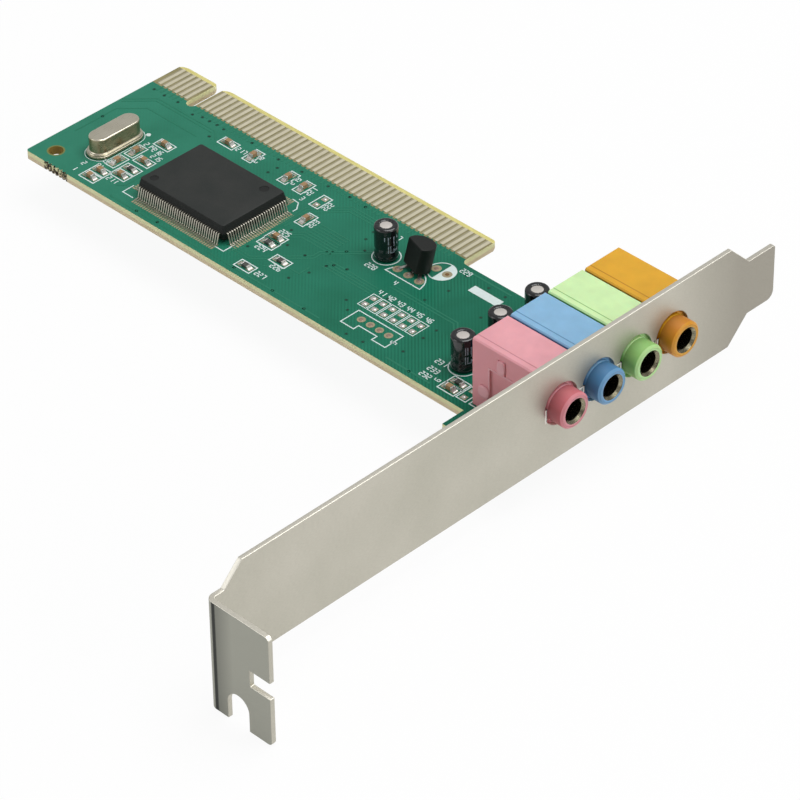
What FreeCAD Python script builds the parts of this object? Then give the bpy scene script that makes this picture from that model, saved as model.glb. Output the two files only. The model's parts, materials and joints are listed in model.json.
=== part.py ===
"""Sound card with a gold edge connector, four audio sockets and a folded slot bracket.

Working frame: X runs along the board and out through the bracket, Y runs down the bracket
from the screw tab to the tongue, Z points away from the component side. X = 0 is the outer
face of the bracket's plate, Y = 0 the outer face of its tab and Z = 0 the component face of
the board. Every piece is moved to the bottom centre of the whole card when it is written.
"""
import FreeCAD, Part
import math
import os
from FreeCAD import Vector

os.makedirs("parts", exist_ok=True)

# Bracket: one folded sheet of steel
plate_thickness = 0.86
plate_width = 18.42
plate_rise = 14.3            # upper edge of the plate above the component face
bracket_length = 120.02
bend_radius = 0.5
tab_reach = 12.0             # from the plate's outer face
tab_width = 19.95
tab_step = 3.55              # drop from the plate's upper edge to the tab's
tab_shoulder = 3.0           # level edge beside the bend, before the slope up to the plate
tab_corner_radius = 0.8
screw_slot_width = 4.3
screw_slot_depth = 5.4
screw_slot_reach = 5.25      # slot's middle from the plate's outer face
tab_notch_width = 2.9
tab_notch_depth = 4.1
tab_notch_drop = 8.3         # from the tab's upper edge
tongue_width = 9.98
tongue_length = 6.1
tongue_corner_radius = 1.5
tongue_upper_radius = 0.5

# Printed circuit board
board_thickness = 1.57
board_gap = 0.1              # between the board and the plate's inner face
board_length = 113.6
near_edge_y = 65.8
root_edge_y = 92.9           # edge of the board on both sides of the connector tongue
card_edge_y = 101.25
board_corner_radius = 0.6
ear_length = 13.54           # part of the board beside the bracket that reaches past the near edge
ear_reach = 4.6
lower_ear_length = 17.0      # part under the last socket
lower_ear_reach = 8.4
root_corner_radius = 1.0     # routed inner corner beside the tongue
bevel_depth = 1.25
bevel_height = 0.45
fixing_hole_diameter = 2.5
fixing_hole_inset_x = 3.7
fixing_hole_inset_y = 3.3
bite_count = 6
bite_pitch = 0.85
bite_width = 0.5
bite_depth = 0.35
bite_start = 5.2             # from the far edge

# Edge contacts
contact_pitch = 1.27
contact_width = 0.98
contact_thickness = 0.05
contact_length = 5.75
contacts_before_key = 49
contacts_after_key = 6
contacts_skipped_by_key = 2
first_contact_margin = 0.8   # from the tongue's end to the first contact's middle
last_contact_margin = 1.255  # from the last contact's middle to the far edge
key_width = 1.9
key_depth = 8.15
key_end_flat = 0.02          # left between the two radii at the key's end
tongue_edge_radius = 1.3

# Audio sockets
socket_names = ("pink", "blue", "lime", "orange")
socket_pitch = 8.2
first_socket_y = 71.85
socket_width = 7.9
socket_height = 12.5
socket_depth = 13.84
socket_axis_height = 5.8
socket_edge_chamfer = 0.25
barrel_diameter = 6.1
barrel_reach = 2.9           # past the plate's outer face
barrel_nose_chamfer = 0.35
barrel_clearance = 0.55
plug_bore_diameter = 3.6
liner_wall = 0.7
liner_setback = 0.05
liner_tail = 0.3             # past the front wall, into the cavity
liner_mouth = 0.45           # funnel at the liner's mouth
front_wall = 3.0
rear_wall = 1.4
roof_wall = 1.4
floor_wall = 1.2
far_wall = 1.0
cover_thickness = 1.2
cover_recess_depth = 0.35
cover_recess_length = 10.2
cover_recess_height = 8.35
upper_stake_width = 1.5
upper_stake_height = 2.3
upper_stake_back = 6.1       # from the housing's rear face
upper_stake_drop = 2.6       # from the housing's top
lower_stake_diameter = 2.1
lower_stake_sides = 12
lower_stake_back = 2.5
lower_stake_rise = 3.6
stake_neighbour_gap = 0.05   # between a stake and the next socket
stake_hole_clearance = 0.05
liner_leg_width = 1.3
liner_leg_thickness = 0.3
spring_thickness = 0.3
spring_width = 1.5
spring_post_gap = 0.2
leg_clearance = 0.12
spring_preload = 0.25        # how far a spring stands into the plug's path
tip_spring_foot = 0.5        # rise above the cavity's floor before the arm starts
tip_spring_bends = (0.35, 0.72, 0.93)
tip_spring_curl = 0.8
ring_spring_bends = (0.4, 0.7, 0.92)
ring_spring_curl = 0.5

# Leads through the board: thin round wires and their holes are drawn with few sides
lead_stub = 1.2              # what shows under the board
lead_hole_clearance = 0.12
wire_sides = 6

# Audio chip
chip_length = 20.0
chip_width = 14.0
chip_thickness = 2.85
chip_standoff = 0.5
chip_inset = 32.75           # from the far edge to the chip's middle
chip_y = 77.0
chip_draft = 0.25
chip_corner = 0.25
chip_lead_count_long = 38
chip_lead_count_short = 26
chip_lead_pitch = 0.5
chip_lead_width = 0.22
chip_lead_thickness = 0.15
chip_lead_reach = 1.6
chip_foot_length = 0.75

# Crystal
crystal_inset = 9.35         # from the far edge to the crystal's middle
crystal_y = 77.0
crystal_length = 10.0
crystal_width = 3.7
crystal_height = 3.55
crystal_rim_length = 11.1
crystal_rim_width = 4.6
crystal_base_thickness = 0.55
crystal_rim_thickness = 0.3
crystal_rim_step = 0.15      # between the can's rim and the base's edge
crystal_edge_chamfer = 0.4
crystal_lead_pitch = 4.88
crystal_lead_diameter = 0.43

# Electrolytic capacitors
capacitor_diameter = 4.0
capacitor_height = 6.3
capacitor_sides = 20         # so small a round is drawn with flats
capacitor_standoff = 0.25
sleeve_wall = 0.12
crimp_width = 0.95           # how far the sleeve is curled in over the can's top
capacitor_lead_pitch = 2.0
capacitor_lead_diameter = 0.45
filter_capacitor_x = -51.0
filter_capacitor_y = 85.75
output_capacitor_x = -22.1
output_capacitor_first_y = 73.5
output_capacitor_pitch = 8.2
output_capacitor_count = 3

# Voltage regulator in a three-lead moulded case
regulator_x = -45.4          # middle of the flat face, at its foot
regulator_y = 85.2
regulator_width = 4.8
regulator_depth = 3.7
regulator_height = 4.5
regulator_standoff = 0.9
regulator_tilt = 14.0
regulator_turn = -17.0
regulator_pad_x = -44.95     # the middle one of its three pads
regulator_pad_y = 84.6
regulator_pad_pitch = 2.4
regulator_lead_pitch = 1.27
regulator_lead_width = 0.42
regulator_lead_depth = 1.3   # from the flat face to the leads' middle
regulator_knee = 0.15        # height of the leads' bend above the board

# Small chip parts: length, width, height and the length of each metal end. A place gives the
# middle's distance from the far edge, or its X beside the sockets, then its Y and its direction
chip_part_length = 1.6
chip_part_width = 0.85
ceramic_height = 0.8
resistor_height = 0.5
end_cap_length = 0.32
ceramic_insets = (
    (13.36, 67.95, "x"), (13.36, 70.15, "x"), (13.26, 73.9, "y"), (13.36, 78.0, "y"),
    (15.46, 82.45, "x"), (16.56, 76.9, "x"), (16.61, 71.7, "x"), (22.56, 90.1, "x"),
    (28.16, 90.4, "y"), (36.71, 90.1, "y"), (40.51, 89.9, "y"), (47.21, 83.9, "y"),
    (47.41, 77.15, "x"),
)
resistor_insets = (
    (16.61, 73.9, "x"), (47.56, 75.2, "x"), (52.51, 73.15, "x"), (49.46, 68.4, "x"),
)
socket_side_ceramic = (-19.75, 68.15, "x")
socket_side_resistor = (-19.7, 70.05, "x")

# Four-pin lead header that is left empty: its holes only
header_x = -41.95
header_y = 71.2
header_pitch = 2.0
header_hole_count = 4
header_lead_diameter = 0.64

# Derived places
plate_inner_x = -plate_thickness
plate_lower_z = plate_rise - plate_width
tab_upper_z = plate_rise - tab_step
tab_lower_z = tab_upper_z - tab_width
board_front_x = plate_inner_x - board_gap
board_far_x = board_front_x - board_length
board_under_z = -board_thickness
ear_x = board_front_x - ear_length
ear_y = near_edge_y - ear_reach
lower_ear_x = board_front_x - lower_ear_length
lower_ear_y = root_edge_y + lower_ear_reach
last_contact_slot = contacts_before_key + contacts_skipped_by_key + contacts_after_key
key_slot = contacts_before_key + (contacts_skipped_by_key - 1) / 2 + 1
first_contact_x = board_far_x + last_contact_margin + (last_contact_slot - 1) * contact_pitch
tongue_end_x = first_contact_x + first_contact_margin
key_x = first_contact_x - (key_slot - 1) * contact_pitch
chip_x = board_far_x + chip_inset
crystal_x = board_far_x + crystal_inset
socket_rear_x = plate_inner_x - socket_depth
lead_end_z = board_under_z - lead_stub
liner_outer_diameter = plug_bore_diameter + 2 * liner_wall
stake_reach = socket_pitch - socket_width - stake_neighbour_gap
cavity_rear_x = socket_rear_x + rear_wall
cavity_front_x = plate_inner_x - front_wall
ceramic_places = [(board_far_x + inset, y, along) for inset, y, along in ceramic_insets]
resistor_places = [(board_far_x + inset, y, along) for inset, y, along in resistor_insets]
output_capacitor_ys = [output_capacitor_first_y + i * output_capacitor_pitch
                       for i in range(output_capacitor_count)]
card_centre = Vector((board_far_x + tab_reach) / 2, bracket_length / 2, tab_lower_z)


def save(shape, node):
    """Moves a piece to the card's bottom centre and writes it."""
    placed = shape.copy()
    placed.translate(card_centre * -1)
    placed.exportStep("parts/" + node + ".step")


def box(x, y, z):
    """A block from three (low, high) pairs."""
    return Part.makeBox(x[1] - x[0], y[1] - y[0], z[1] - z[0], Vector(x[0], y[0], z[0]))


def face_of(points):
    """A flat face inside straight lines through the points."""
    wire = Part.makePolygon(list(points) + [points[0]])
    return Part.Face(wire)


def cylinder(diameter, length, base, direction):
    return Part.makeCylinder(diameter / 2, length, base, direction)


def wire(diameter, length, base, sides=wire_sides):
    """A thin upright wire or can drawn with flat sides, or the hole for one."""
    corners = []
    for i in range(sides + 1):
        angle = math.pi * (2 * i + 1) / sides
        corners.append(base + Vector(math.cos(angle), math.sin(angle), 0) * (diameter / 2))
    return Part.Face(Part.makePolygon(corners)).extrude(Vector(0, 0, length))


def chamfer_edges(solid, size, matches):
    """Chamfers the edges for which matches(edge) is true."""
    return solid.makeChamfer(size, [edge for edge in solid.Edges if matches(edge)])


def round_corners(solid, radius, matches):
    """Fillets the edges for which matches(edge) is true."""
    return solid.makeFillet(radius, [edge for edge in solid.Edges if matches(edge)])


def runs_along(edge, axis):
    """True for a straight edge parallel to the axis, given as 0, 1 or 2."""
    if len(edge.Vertexes) != 2:
        return False
    span = edge.Vertexes[1].Point - edge.Vertexes[0].Point
    others = [abs(span[i]) for i in range(3) if i != axis]
    return abs(span[axis]) > 1e-6 and max(others) < 1e-6


def obround(length, width, height, centre):
    """A block with half-round ends, long along Y, standing on its centre point."""
    radius = width / 2
    half = length / 2 - radius
    ends = [cylinder(width, height, centre + Vector(0, side * half, 0), Vector(0, 0, 1))
            for side in (-1, 1)]
    middle = box((centre.x - radius, centre.x + radius), (centre.y - half, centre.y + half),
                 (centre.z, centre.z + height))
    return middle.fuse(ends).removeSplitter()


def strip(points, thickness):
    """A face along a bent line, with its thickness laid off to the line's left."""
    inner = []
    outer = []
    for i, point in enumerate(points):
        before = (point - points[i - 1]).normalize() if i else None
        after = (points[i + 1] - point).normalize() if i + 1 < len(points) else None
        before = before or after
        after = after or before
        normal = Vector(-before.y - after.y, before.x + after.x, 0).normalize()
        stretch = 1 / max(0.2, normal.dot(Vector(-before.y, before.x, 0)))
        inner.append(point)
        outer.append(point + normal * (thickness * stretch))
    return face_of(inner + outer[::-1])


def upright(face):
    """Turns a face drawn in X and Y to stand in X and Z."""
    turned = face.copy()
    turned.rotate(Vector(0, 0, 0), Vector(1, 0, 0), 90)
    return turned


def slot_x(slot):
    """The middle of an edge contact, counted from 1 at the bracket's end."""
    return first_contact_x - (slot - 1) * contact_pitch


def contact_slots():
    before = list(range(1, contacts_before_key + 1))
    start = contacts_before_key + contacts_skipped_by_key + 1
    return before + list(range(start, start + contacts_after_key))


def socket_y(index):
    return first_socket_y + index * socket_pitch


def bracket_blank():
    """The plate and its tongue, flat, before the tab and the holes."""
    shoulder = (plate_width - tongue_width) / 2
    tongue_y = bracket_length - tongue_length
    bend_y = plate_thickness + bend_radius
    flare = plate_lower_z - tab_lower_z
    upper_tongue_z = plate_rise - shoulder
    lower_tongue_z = plate_lower_z + shoulder
    outline = [
        (bend_y, tab_upper_z), (tab_shoulder, tab_upper_z), (tab_shoulder + tab_step, plate_rise),
        (tongue_y - shoulder, plate_rise), (tongue_y, upper_tongue_z),
        (bracket_length, upper_tongue_z), (bracket_length, lower_tongue_z),
        (tongue_y, lower_tongue_z), (tongue_y - shoulder, plate_lower_z),
        (tab_shoulder + flare, plate_lower_z), (tab_shoulder, tab_lower_z), (bend_y, tab_lower_z),
    ]
    face = face_of([Vector(plate_inner_x, y, z) for y, z in outline])
    plate = face.extrude(Vector(plate_thickness, 0, 0))

    def tip(edge, z):
        return (runs_along(edge, 0) and abs(edge.Vertexes[0].Y - bracket_length) < 1e-6
                and abs(edge.Vertexes[0].Z - z) < 1e-6)

    plate = round_corners(plate, tongue_corner_radius, lambda edge: tip(edge, lower_tongue_z))
    return round_corners(plate, tongue_upper_radius, lambda edge: tip(edge, upper_tongue_z))


def bracket_tab():
    """The bend and the screw tab, with the open screw slot and the square notch."""
    outer = bend_radius + plate_thickness
    centre = Vector(bend_radius, outer, tab_lower_z)
    ring = cylinder(2 * outer, tab_width, centre, Vector(0, 0, 1))
    ring = ring.cut(cylinder(2 * bend_radius, tab_width, centre, Vector(0, 0, 1)))
    corner = box((plate_inner_x, bend_radius), (0, outer), (tab_lower_z, tab_upper_z))
    bend = ring.common(corner)
    flat = box((bend_radius, tab_reach), (0, plate_thickness), (tab_lower_z, tab_upper_z))
    flat = round_corners(flat, tab_corner_radius,
                         lambda edge: runs_along(edge, 1) and edge.Vertexes[0].X > bend_radius)
    slot_top = tab_lower_z + screw_slot_depth - screw_slot_width / 2
    slot = cylinder(screw_slot_width, plate_thickness, Vector(screw_slot_reach, 0, slot_top),
                    Vector(0, 1, 0))
    slot = slot.fuse(box((screw_slot_reach - screw_slot_width / 2, screw_slot_reach + screw_slot_width / 2),
                         (0, plate_thickness), (tab_lower_z, slot_top)))
    notch_top = tab_upper_z - tab_notch_drop
    notch = box((tab_reach - tab_notch_depth, tab_reach), (0, plate_thickness),
                (notch_top - tab_notch_width, notch_top))
    return bend.fuse(flat).cut(slot).cut(notch)


def make_bracket():
    bracket = bracket_blank().fuse(bracket_tab()).removeSplitter()
    hole_diameter = barrel_diameter + 2 * barrel_clearance
    for index in range(len(socket_names)):
        place = Vector(plate_inner_x, socket_y(index), socket_axis_height)
        bracket = bracket.cut(cylinder(hole_diameter, plate_thickness, place, Vector(1, 0, 0)))
    return bracket


def board_outline():
    """The board's outline as a solid, with the tongue's and the corners' radii."""
    points = [
        (board_far_x, near_edge_y), (ear_x, near_edge_y), (ear_x, ear_y), (board_front_x, ear_y),
        (board_front_x, lower_ear_y), (lower_ear_x, lower_ear_y), (lower_ear_x, root_edge_y),
        (tongue_end_x, root_edge_y), (tongue_end_x, card_edge_y),
        (key_x + key_width / 2, card_edge_y), (key_x + key_width / 2, card_edge_y - key_depth),
        (key_x - key_width / 2, card_edge_y - key_depth), (key_x - key_width / 2, card_edge_y),
        (board_far_x, card_edge_y),
    ]
    face = face_of([Vector(x, y, board_under_z) for x, y in points])
    board = face.extrude(Vector(0, 0, board_thickness))

    def at(edge, y):
        return runs_along(edge, 2) and abs(edge.Vertexes[0].Y - y) < 1e-6

    key_radius = (key_width - key_end_flat) / 2
    board = round_corners(board, tongue_edge_radius, lambda edge: at(edge, card_edge_y))
    board = round_corners(board, key_radius, lambda edge: at(edge, card_edge_y - key_depth))
    board = round_corners(board, root_corner_radius, lambda edge: at(edge, root_edge_y)
                          and abs(edge.Vertexes[0].X - tongue_end_x) < 1e-6)
    return round_corners(board, board_corner_radius,
                         lambda edge: at(edge, near_edge_y) and edge.Vertexes[0].X < ear_x - 1)


def edge_bevels():
    """Two wedges that bevel the connector's edge on both faces."""
    wedges = []
    for z, inward in ((0, -1), (board_under_z, 1)):
        profile = [
            Vector(board_far_x, card_edge_y - bevel_depth, z),
            Vector(board_far_x, card_edge_y, z),
            Vector(board_far_x, card_edge_y, z + inward * bevel_height),
        ]
        wedges.append(face_of(profile).extrude(Vector(tongue_end_x - board_far_x, 0, 0)))
    return wedges


def edge_bites():
    """Small marks left on the near edge where the board was broken from its panel."""
    first_x = board_far_x + bite_start
    half = bite_width / 2
    bites = []
    for i in range(bite_count):
        x = first_x + i * bite_pitch
        corners = [Vector(x - half, near_edge_y, board_under_z), Vector(x + half, near_edge_y, board_under_z),
                   Vector(x, near_edge_y + bite_depth, board_under_z)]
        bites.append(face_of(corners).extrude(Vector(0, 0, board_thickness)))
    return bites


def lead_hole(diameter, x, y):
    return wire(diameter + 2 * lead_hole_clearance, board_thickness, Vector(x, y, board_under_z))


def capacitor_places():
    outputs = [(output_capacitor_x, y) for y in output_capacitor_ys]
    return [(filter_capacitor_x, filter_capacitor_y)] + outputs


def lead_places():
    """Hole centre and lead diameter for every round lead."""
    places = []
    for x, y in capacitor_places():
        for side in (-1, 1):
            places.append((x + side * capacitor_lead_pitch / 2, y, capacitor_lead_diameter))
    for side in (-1, 1):
        places.append((crystal_x, crystal_y + side * crystal_lead_pitch / 2, crystal_lead_diameter))
    return places


def socket_leg_places(y):
    """Middle of each flat leg of a socket, and its size along X and Y."""
    liner_x = cavity_front_x - liner_leg_thickness / 2
    tip_x = cavity_rear_x + spring_thickness / 2
    ring_y = y + socket_width / 2 - far_wall - spring_thickness / 2
    post_x = socket_rear_x + lower_stake_back + lower_stake_diameter / 2
    ring_x = post_x + spring_post_gap + spring_width / 2
    return {
        "liner": (liner_x, y, liner_leg_thickness, liner_leg_width),
        "tip": (tip_x, y, spring_thickness, spring_width),
        "ring": (ring_x, ring_y, spring_width, spring_thickness),
    }


def flat_leg(place, top_z, grow=0.0):
    """A flat leg down through the board; grow makes its slot."""
    x, y, size_x, size_y = place
    return box((x - size_x / 2 - grow, x + size_x / 2 + grow), (y - size_y / 2 - grow, y + size_y / 2 + grow),
               (lead_end_z, top_z))


def make_board():
    board = board_outline().cut(edge_bevels()).cut(edge_bites())
    fixing_place = Vector(board_far_x + fixing_hole_inset_x, near_edge_y + fixing_hole_inset_y,
                          board_under_z)
    holes = [cylinder(fixing_hole_diameter, board_thickness, fixing_place, Vector(0, 0, 1))]
    for x, y, diameter in lead_places():
        holes.append(lead_hole(diameter, x, y))
    for i in range(header_hole_count):
        holes.append(lead_hole(header_lead_diameter, header_x + i * header_pitch, header_y))
    for i in (-1, 0, 1):
        holes.append(lead_hole(regulator_lead_width * math.sqrt(2),
                               regulator_pad_x + i * regulator_pad_pitch, regulator_pad_y))
    for index in range(len(socket_names)):
        for place in socket_leg_places(socket_y(index)).values():
            holes.append(flat_leg(place, 0.0, lead_hole_clearance))
    return board.cut(holes)


def make_contacts(side):
    """The gold contacts on one face: side 1 is the component face, -1 the solder face."""
    z = 0.0 if side > 0 else board_under_z - contact_thickness
    end_y = card_edge_y - bevel_depth
    pads = [box((slot_x(slot) - contact_width / 2, slot_x(slot) + contact_width / 2),
                (end_y - contact_length, end_y), (z, z + contact_thickness))
            for slot in contact_slots()]
    return Part.makeCompound(pads)


def make_socket_housing(y):
    """The moulded body and barrel of one socket, open towards its side cover."""
    low_y = y - socket_width / 2
    high_y = y + socket_width / 2
    split_y = low_y + cover_thickness
    body = box((socket_rear_x, plate_inner_x), (split_y, high_y), (0, socket_height))
    body = chamfer_edges(body, socket_edge_chamfer, lambda edge: runs_along(edge, 0)
                         and edge.Vertexes[0].Z > socket_height / 2 and edge.Vertexes[0].Y > y)
    barrel = cylinder(barrel_diameter, barrel_reach + plate_thickness,
                      Vector(plate_inner_x, y, socket_axis_height), Vector(1, 0, 0))
    barrel = chamfer_edges(barrel, barrel_nose_chamfer,
                           lambda edge: edge.BoundBox.XMin > barrel_reach - 1e-6)
    body = body.fuse(barrel)
    body = body.cut(box((cavity_rear_x, cavity_front_x), (split_y, high_y - far_wall),
                        (floor_wall, socket_height - roof_wall)))
    body = body.cut(cylinder(liner_outer_diameter, barrel_reach - cavity_front_x,
                             Vector(cavity_front_x, y, socket_axis_height), Vector(1, 0, 0)))
    for place in socket_leg_places(y).values():
        body = body.cut(flat_leg(place, floor_wall, leg_clearance))
    for post in cover_posts(y, 0.0, high_y - far_wall, low_y - stake_reach):
        body = body.fuse(post)
    return body


def cover_posts(y, grow, start_y, end_y):
    """The two posts whose ends are staked over the cover; grow makes their holes."""
    length = start_y - end_y
    half_width = upper_stake_width / 2 + grow
    half_height = upper_stake_height / 2 + grow
    upper_x = socket_rear_x + upper_stake_back
    upper_z = socket_height - upper_stake_drop
    upper = box((upper_x - half_width, upper_x + half_width), (end_y, start_y),
                (upper_z - half_height, upper_z + half_height))
    lower = wire(lower_stake_diameter + 2 * grow, length, Vector(0, 0, 0), lower_stake_sides)
    lower.rotate(Vector(0, 0, 0), Vector(1, 0, 0), 90)
    lower.translate(Vector(socket_rear_x + lower_stake_back, start_y, lower_stake_rise))
    return [upper, lower]


def make_socket_cover(y):
    """The side cover of one socket, with its stepped recess and stake holes."""
    low_y = y - socket_width / 2
    cover = box((socket_rear_x, plate_inner_x), (low_y, low_y + cover_thickness), (0, socket_height))
    cover = chamfer_edges(cover, socket_edge_chamfer, lambda edge: runs_along(edge, 0)
                          and edge.Vertexes[0].Z > socket_height / 2 and edge.Vertexes[0].Y < low_y + 0.1)
    recess = box((plate_inner_x - cover_recess_length, plate_inner_x),
                 (low_y, low_y + cover_recess_depth), (0, cover_recess_height))
    cover = cover.cut(recess)
    return cover.cut(cover_posts(y, stake_hole_clearance, low_y + cover_thickness, low_y))


def make_socket_liner(y):
    """The metal barrel liner that a plug's sleeve touches, with its ground leg."""
    rear_x = cavity_front_x - liner_tail
    rear = Vector(rear_x, y, socket_axis_height)
    tube = cylinder(liner_outer_diameter, barrel_reach - liner_setback - rear_x, rear, Vector(1, 0, 0))
    leg = flat_leg(socket_leg_places(y)["liner"], socket_axis_height)
    bore = cylinder(plug_bore_diameter, barrel_reach - rear_x, rear, Vector(1, 0, 0))
    front_x = barrel_reach - liner_setback
    bore_radius = plug_bore_diameter / 2
    mouth = Part.makeCone(bore_radius, bore_radius + liner_mouth, liner_mouth,
                          Vector(front_x - liner_mouth, y, socket_axis_height), Vector(1, 0, 0))
    return tube.fuse(leg).cut(bore).cut(mouth)


def make_tip_spring(y):
    """The spring under the plug's tip: a leg, a rise at the rear wall and a bowed arm."""
    touch_z = socket_axis_height - plug_bore_diameter / 2 + spring_preload
    rear_x = cavity_rear_x
    foot_z = floor_wall + tip_spring_foot
    reach = cavity_front_x - cavity_rear_x - liner_tail
    low_x, high_x, end_x = [rear_x + reach * share for share in tip_spring_bends]
    line = [
        Vector(rear_x + spring_thickness, lead_end_z, 0), Vector(rear_x + spring_thickness, foot_z, 0),
        Vector(low_x, foot_z + tip_spring_foot, 0), Vector(high_x, touch_z, 0),
        Vector(end_x, touch_z - tip_spring_curl, 0),
    ]
    face = upright(strip(line, spring_thickness))
    face.translate(Vector(0, y - spring_width / 2, 0))
    return face.extrude(Vector(0, spring_width, 0))


def make_ring_spring(y):
    """The spring beside the plug: an upright on the far wall and a bowed arm."""
    place = socket_leg_places(y)["ring"]
    wall_y = y + socket_width / 2 - far_wall
    touch_y = y + plug_bore_diameter / 2 - spring_preload
    low_z = socket_axis_height - spring_width / 2
    upright_leg = flat_leg(place, socket_axis_height + spring_width / 2)
    start_x = place[0] - place[2] / 2
    reach = cavity_front_x - liner_tail - start_x
    low_x, high_x, end_x = [start_x + reach * share for share in ring_spring_bends]
    line = [
        Vector(start_x, wall_y - spring_thickness, 0), Vector(low_x, wall_y - spring_thickness, 0),
        Vector(high_x, touch_y, 0), Vector(end_x, touch_y + ring_spring_curl, 0),
    ]
    arm = strip(line, spring_thickness)
    arm.translate(Vector(0, 0, low_z))
    return upright_leg.fuse(arm.extrude(Vector(0, 0, spring_width))).removeSplitter()


def make_chip_body():
    """The chip's moulded case: two drafted halves that meet at the leads."""
    middle_z = chip_standoff + chip_thickness / 2

    def outline(inset, z):
        half_x = chip_length / 2 - inset
        half_y = chip_width / 2 - inset
        cut = chip_corner
        corners = [
            (-half_x + cut, -half_y), (half_x - cut, -half_y), (half_x, -half_y + cut),
            (half_x, half_y - cut), (half_x - cut, half_y), (-half_x + cut, half_y),
            (-half_x, half_y - cut), (-half_x, -half_y + cut),
        ]
        points = [Vector(chip_x + x, chip_y + y, z) for x, y in corners]
        return Part.makePolygon(points + [points[0]])

    lower = Part.makeLoft([outline(chip_draft, chip_standoff), outline(0, middle_z)], True, True)
    top_z = chip_standoff + chip_thickness
    upper = Part.makeLoft([outline(0, middle_z), outline(chip_draft, top_z)], True, True)
    return lower.fuse(upper).removeSplitter()


def gull_wing():
    """One lead's section, from the case at the origin out along X and down to the board."""
    top = chip_standoff + (chip_thickness - chip_lead_thickness) / 2
    foot = chip_lead_reach - chip_foot_length
    line = [Vector(0, top, 0), Vector(foot, 0, 0), Vector(chip_lead_reach, 0, 0)]
    return upright(strip(line, chip_lead_thickness))


def make_chip_leads():
    leads = []
    for count, half_case, turn in ((chip_lead_count_short, chip_length / 2, 0),
                                   (chip_lead_count_long, chip_width / 2, 90)):
        section = gull_wing().extrude(Vector(0, chip_lead_width, 0))
        for side in (0, 180):
            for i in range(count):
                offset = (i - (count - 1) / 2) * chip_lead_pitch
                lead = section.copy()
                lead.translate(Vector(half_case, offset - chip_lead_width / 2, 0))
                lead.rotate(Vector(0, 0, 0), Vector(0, 0, 1), turn + side)
                lead.translate(Vector(chip_x, chip_y, 0))
                leads.append(lead)
    return Part.makeCompound(leads)


def make_crystal_base():
    base = obround(crystal_rim_length, crystal_rim_width, crystal_base_thickness,
                   Vector(crystal_x, crystal_y, 0))
    for side in (-1, 1):
        place = Vector(crystal_x, crystal_y + side * crystal_lead_pitch / 2, 0)
        base = base.cut(wire(crystal_lead_diameter, crystal_base_thickness, place))
    return base


def make_crystal_can():
    """The drawn can with the thin rim that is welded to the base."""
    rim = obround(crystal_rim_length - 2 * crystal_rim_step, crystal_rim_width - 2 * crystal_rim_step,
                  crystal_rim_thickness, Vector(crystal_x, crystal_y, crystal_base_thickness))
    can = obround(crystal_length, crystal_width, crystal_height - crystal_base_thickness,
                  Vector(crystal_x, crystal_y, crystal_base_thickness))
    can = chamfer_edges(can, crystal_edge_chamfer,
                        lambda edge: edge.BoundBox.ZMin > crystal_height - 1e-6)
    return can.fuse(rim).removeSplitter()


def make_crystal_leads():
    length = crystal_base_thickness - lead_end_z
    return Part.makeCompound([
        wire(crystal_lead_diameter, length,
             Vector(crystal_x, crystal_y + side * crystal_lead_pitch / 2, lead_end_z))
        for side in (-1, 1)])


def make_capacitor_can(x, y):
    """The sealed aluminium can with its rubber bung, seen only from above."""
    return wire(capacitor_diameter - 2 * sleeve_wall, capacitor_height - sleeve_wall - capacitor_standoff,
                Vector(x, y, capacitor_standoff), capacitor_sides)


def make_capacitor_sleeve(x, y):
    """The film sleeve, shrunk in over the edge of the can's top."""
    length = capacitor_height - capacitor_standoff
    foot = Vector(x, y, capacitor_standoff)
    sleeve = wire(capacitor_diameter, length, foot, capacitor_sides)
    inside = wire(capacitor_diameter - 2 * sleeve_wall, length - sleeve_wall, foot, capacitor_sides)
    opening = wire(capacitor_diameter - 2 * crimp_width, length, foot, capacitor_sides)
    return sleeve.cut(inside).cut(opening)


def make_capacitor_leads(x, y):
    return Part.makeCompound([
        wire(capacitor_lead_diameter, capacitor_standoff - lead_end_z,
             Vector(x + side * capacitor_lead_pitch / 2, y, lead_end_z))
        for side in (-1, 1)])


def regulator_frame(shape):
    """Tilts a shape drawn upright at the origin and stands it at the regulator's place."""
    placed = shape.copy()
    placed.rotate(Vector(0, 0, 0), Vector(1, 0, 0), -regulator_tilt)
    placed.rotate(Vector(0, 0, 0), Vector(0, 0, 1), regulator_turn)
    placed.translate(Vector(regulator_x, regulator_y, regulator_standoff))
    return placed


def make_regulator_body():
    """A half-round case: a flat face towards the leads' pads and a round back."""
    radius = regulator_width / 2
    round_part = cylinder(regulator_width, regulator_height, Vector(0, radius, 0), Vector(0, 0, 1))
    keep = box((-radius, radius), (regulator_width - regulator_depth, regulator_width),
               (0, regulator_height))
    case = round_part.common(keep)
    case.translate(Vector(0, regulator_depth - regulator_width, 0))
    return regulator_frame(case)


def square_bar(points, width):
    """A bar of square section through the points, each section level."""
    half = width / 2
    sections = []
    for point in points:
        corners = [point + Vector(dx * half, dy * half, 0)
                   for dx, dy in ((-1, -1), (1, -1), (1, 1), (-1, 1))]
        sections.append(Part.makePolygon(corners + [corners[0]]))
    return Part.makeLoft(sections, True, True)


def make_regulator_leads():
    """Three leads, spread from the case's underside to their pads."""
    leads = []
    for i in (-1, 0, 1):
        root = regulator_frame(Part.Vertex(i * regulator_lead_pitch, regulator_lead_depth, 0)).Point
        pad_x = regulator_pad_x + i * regulator_pad_pitch
        top = root - Vector(0, 0, regulator_lead_width / 2)
        knee = Vector(pad_x, regulator_pad_y, regulator_knee)
        foot = Vector(pad_x, regulator_pad_y, lead_end_z)
        leads.append(square_bar([top, knee, foot], regulator_lead_width))
    return Part.makeCompound(leads)


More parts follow.
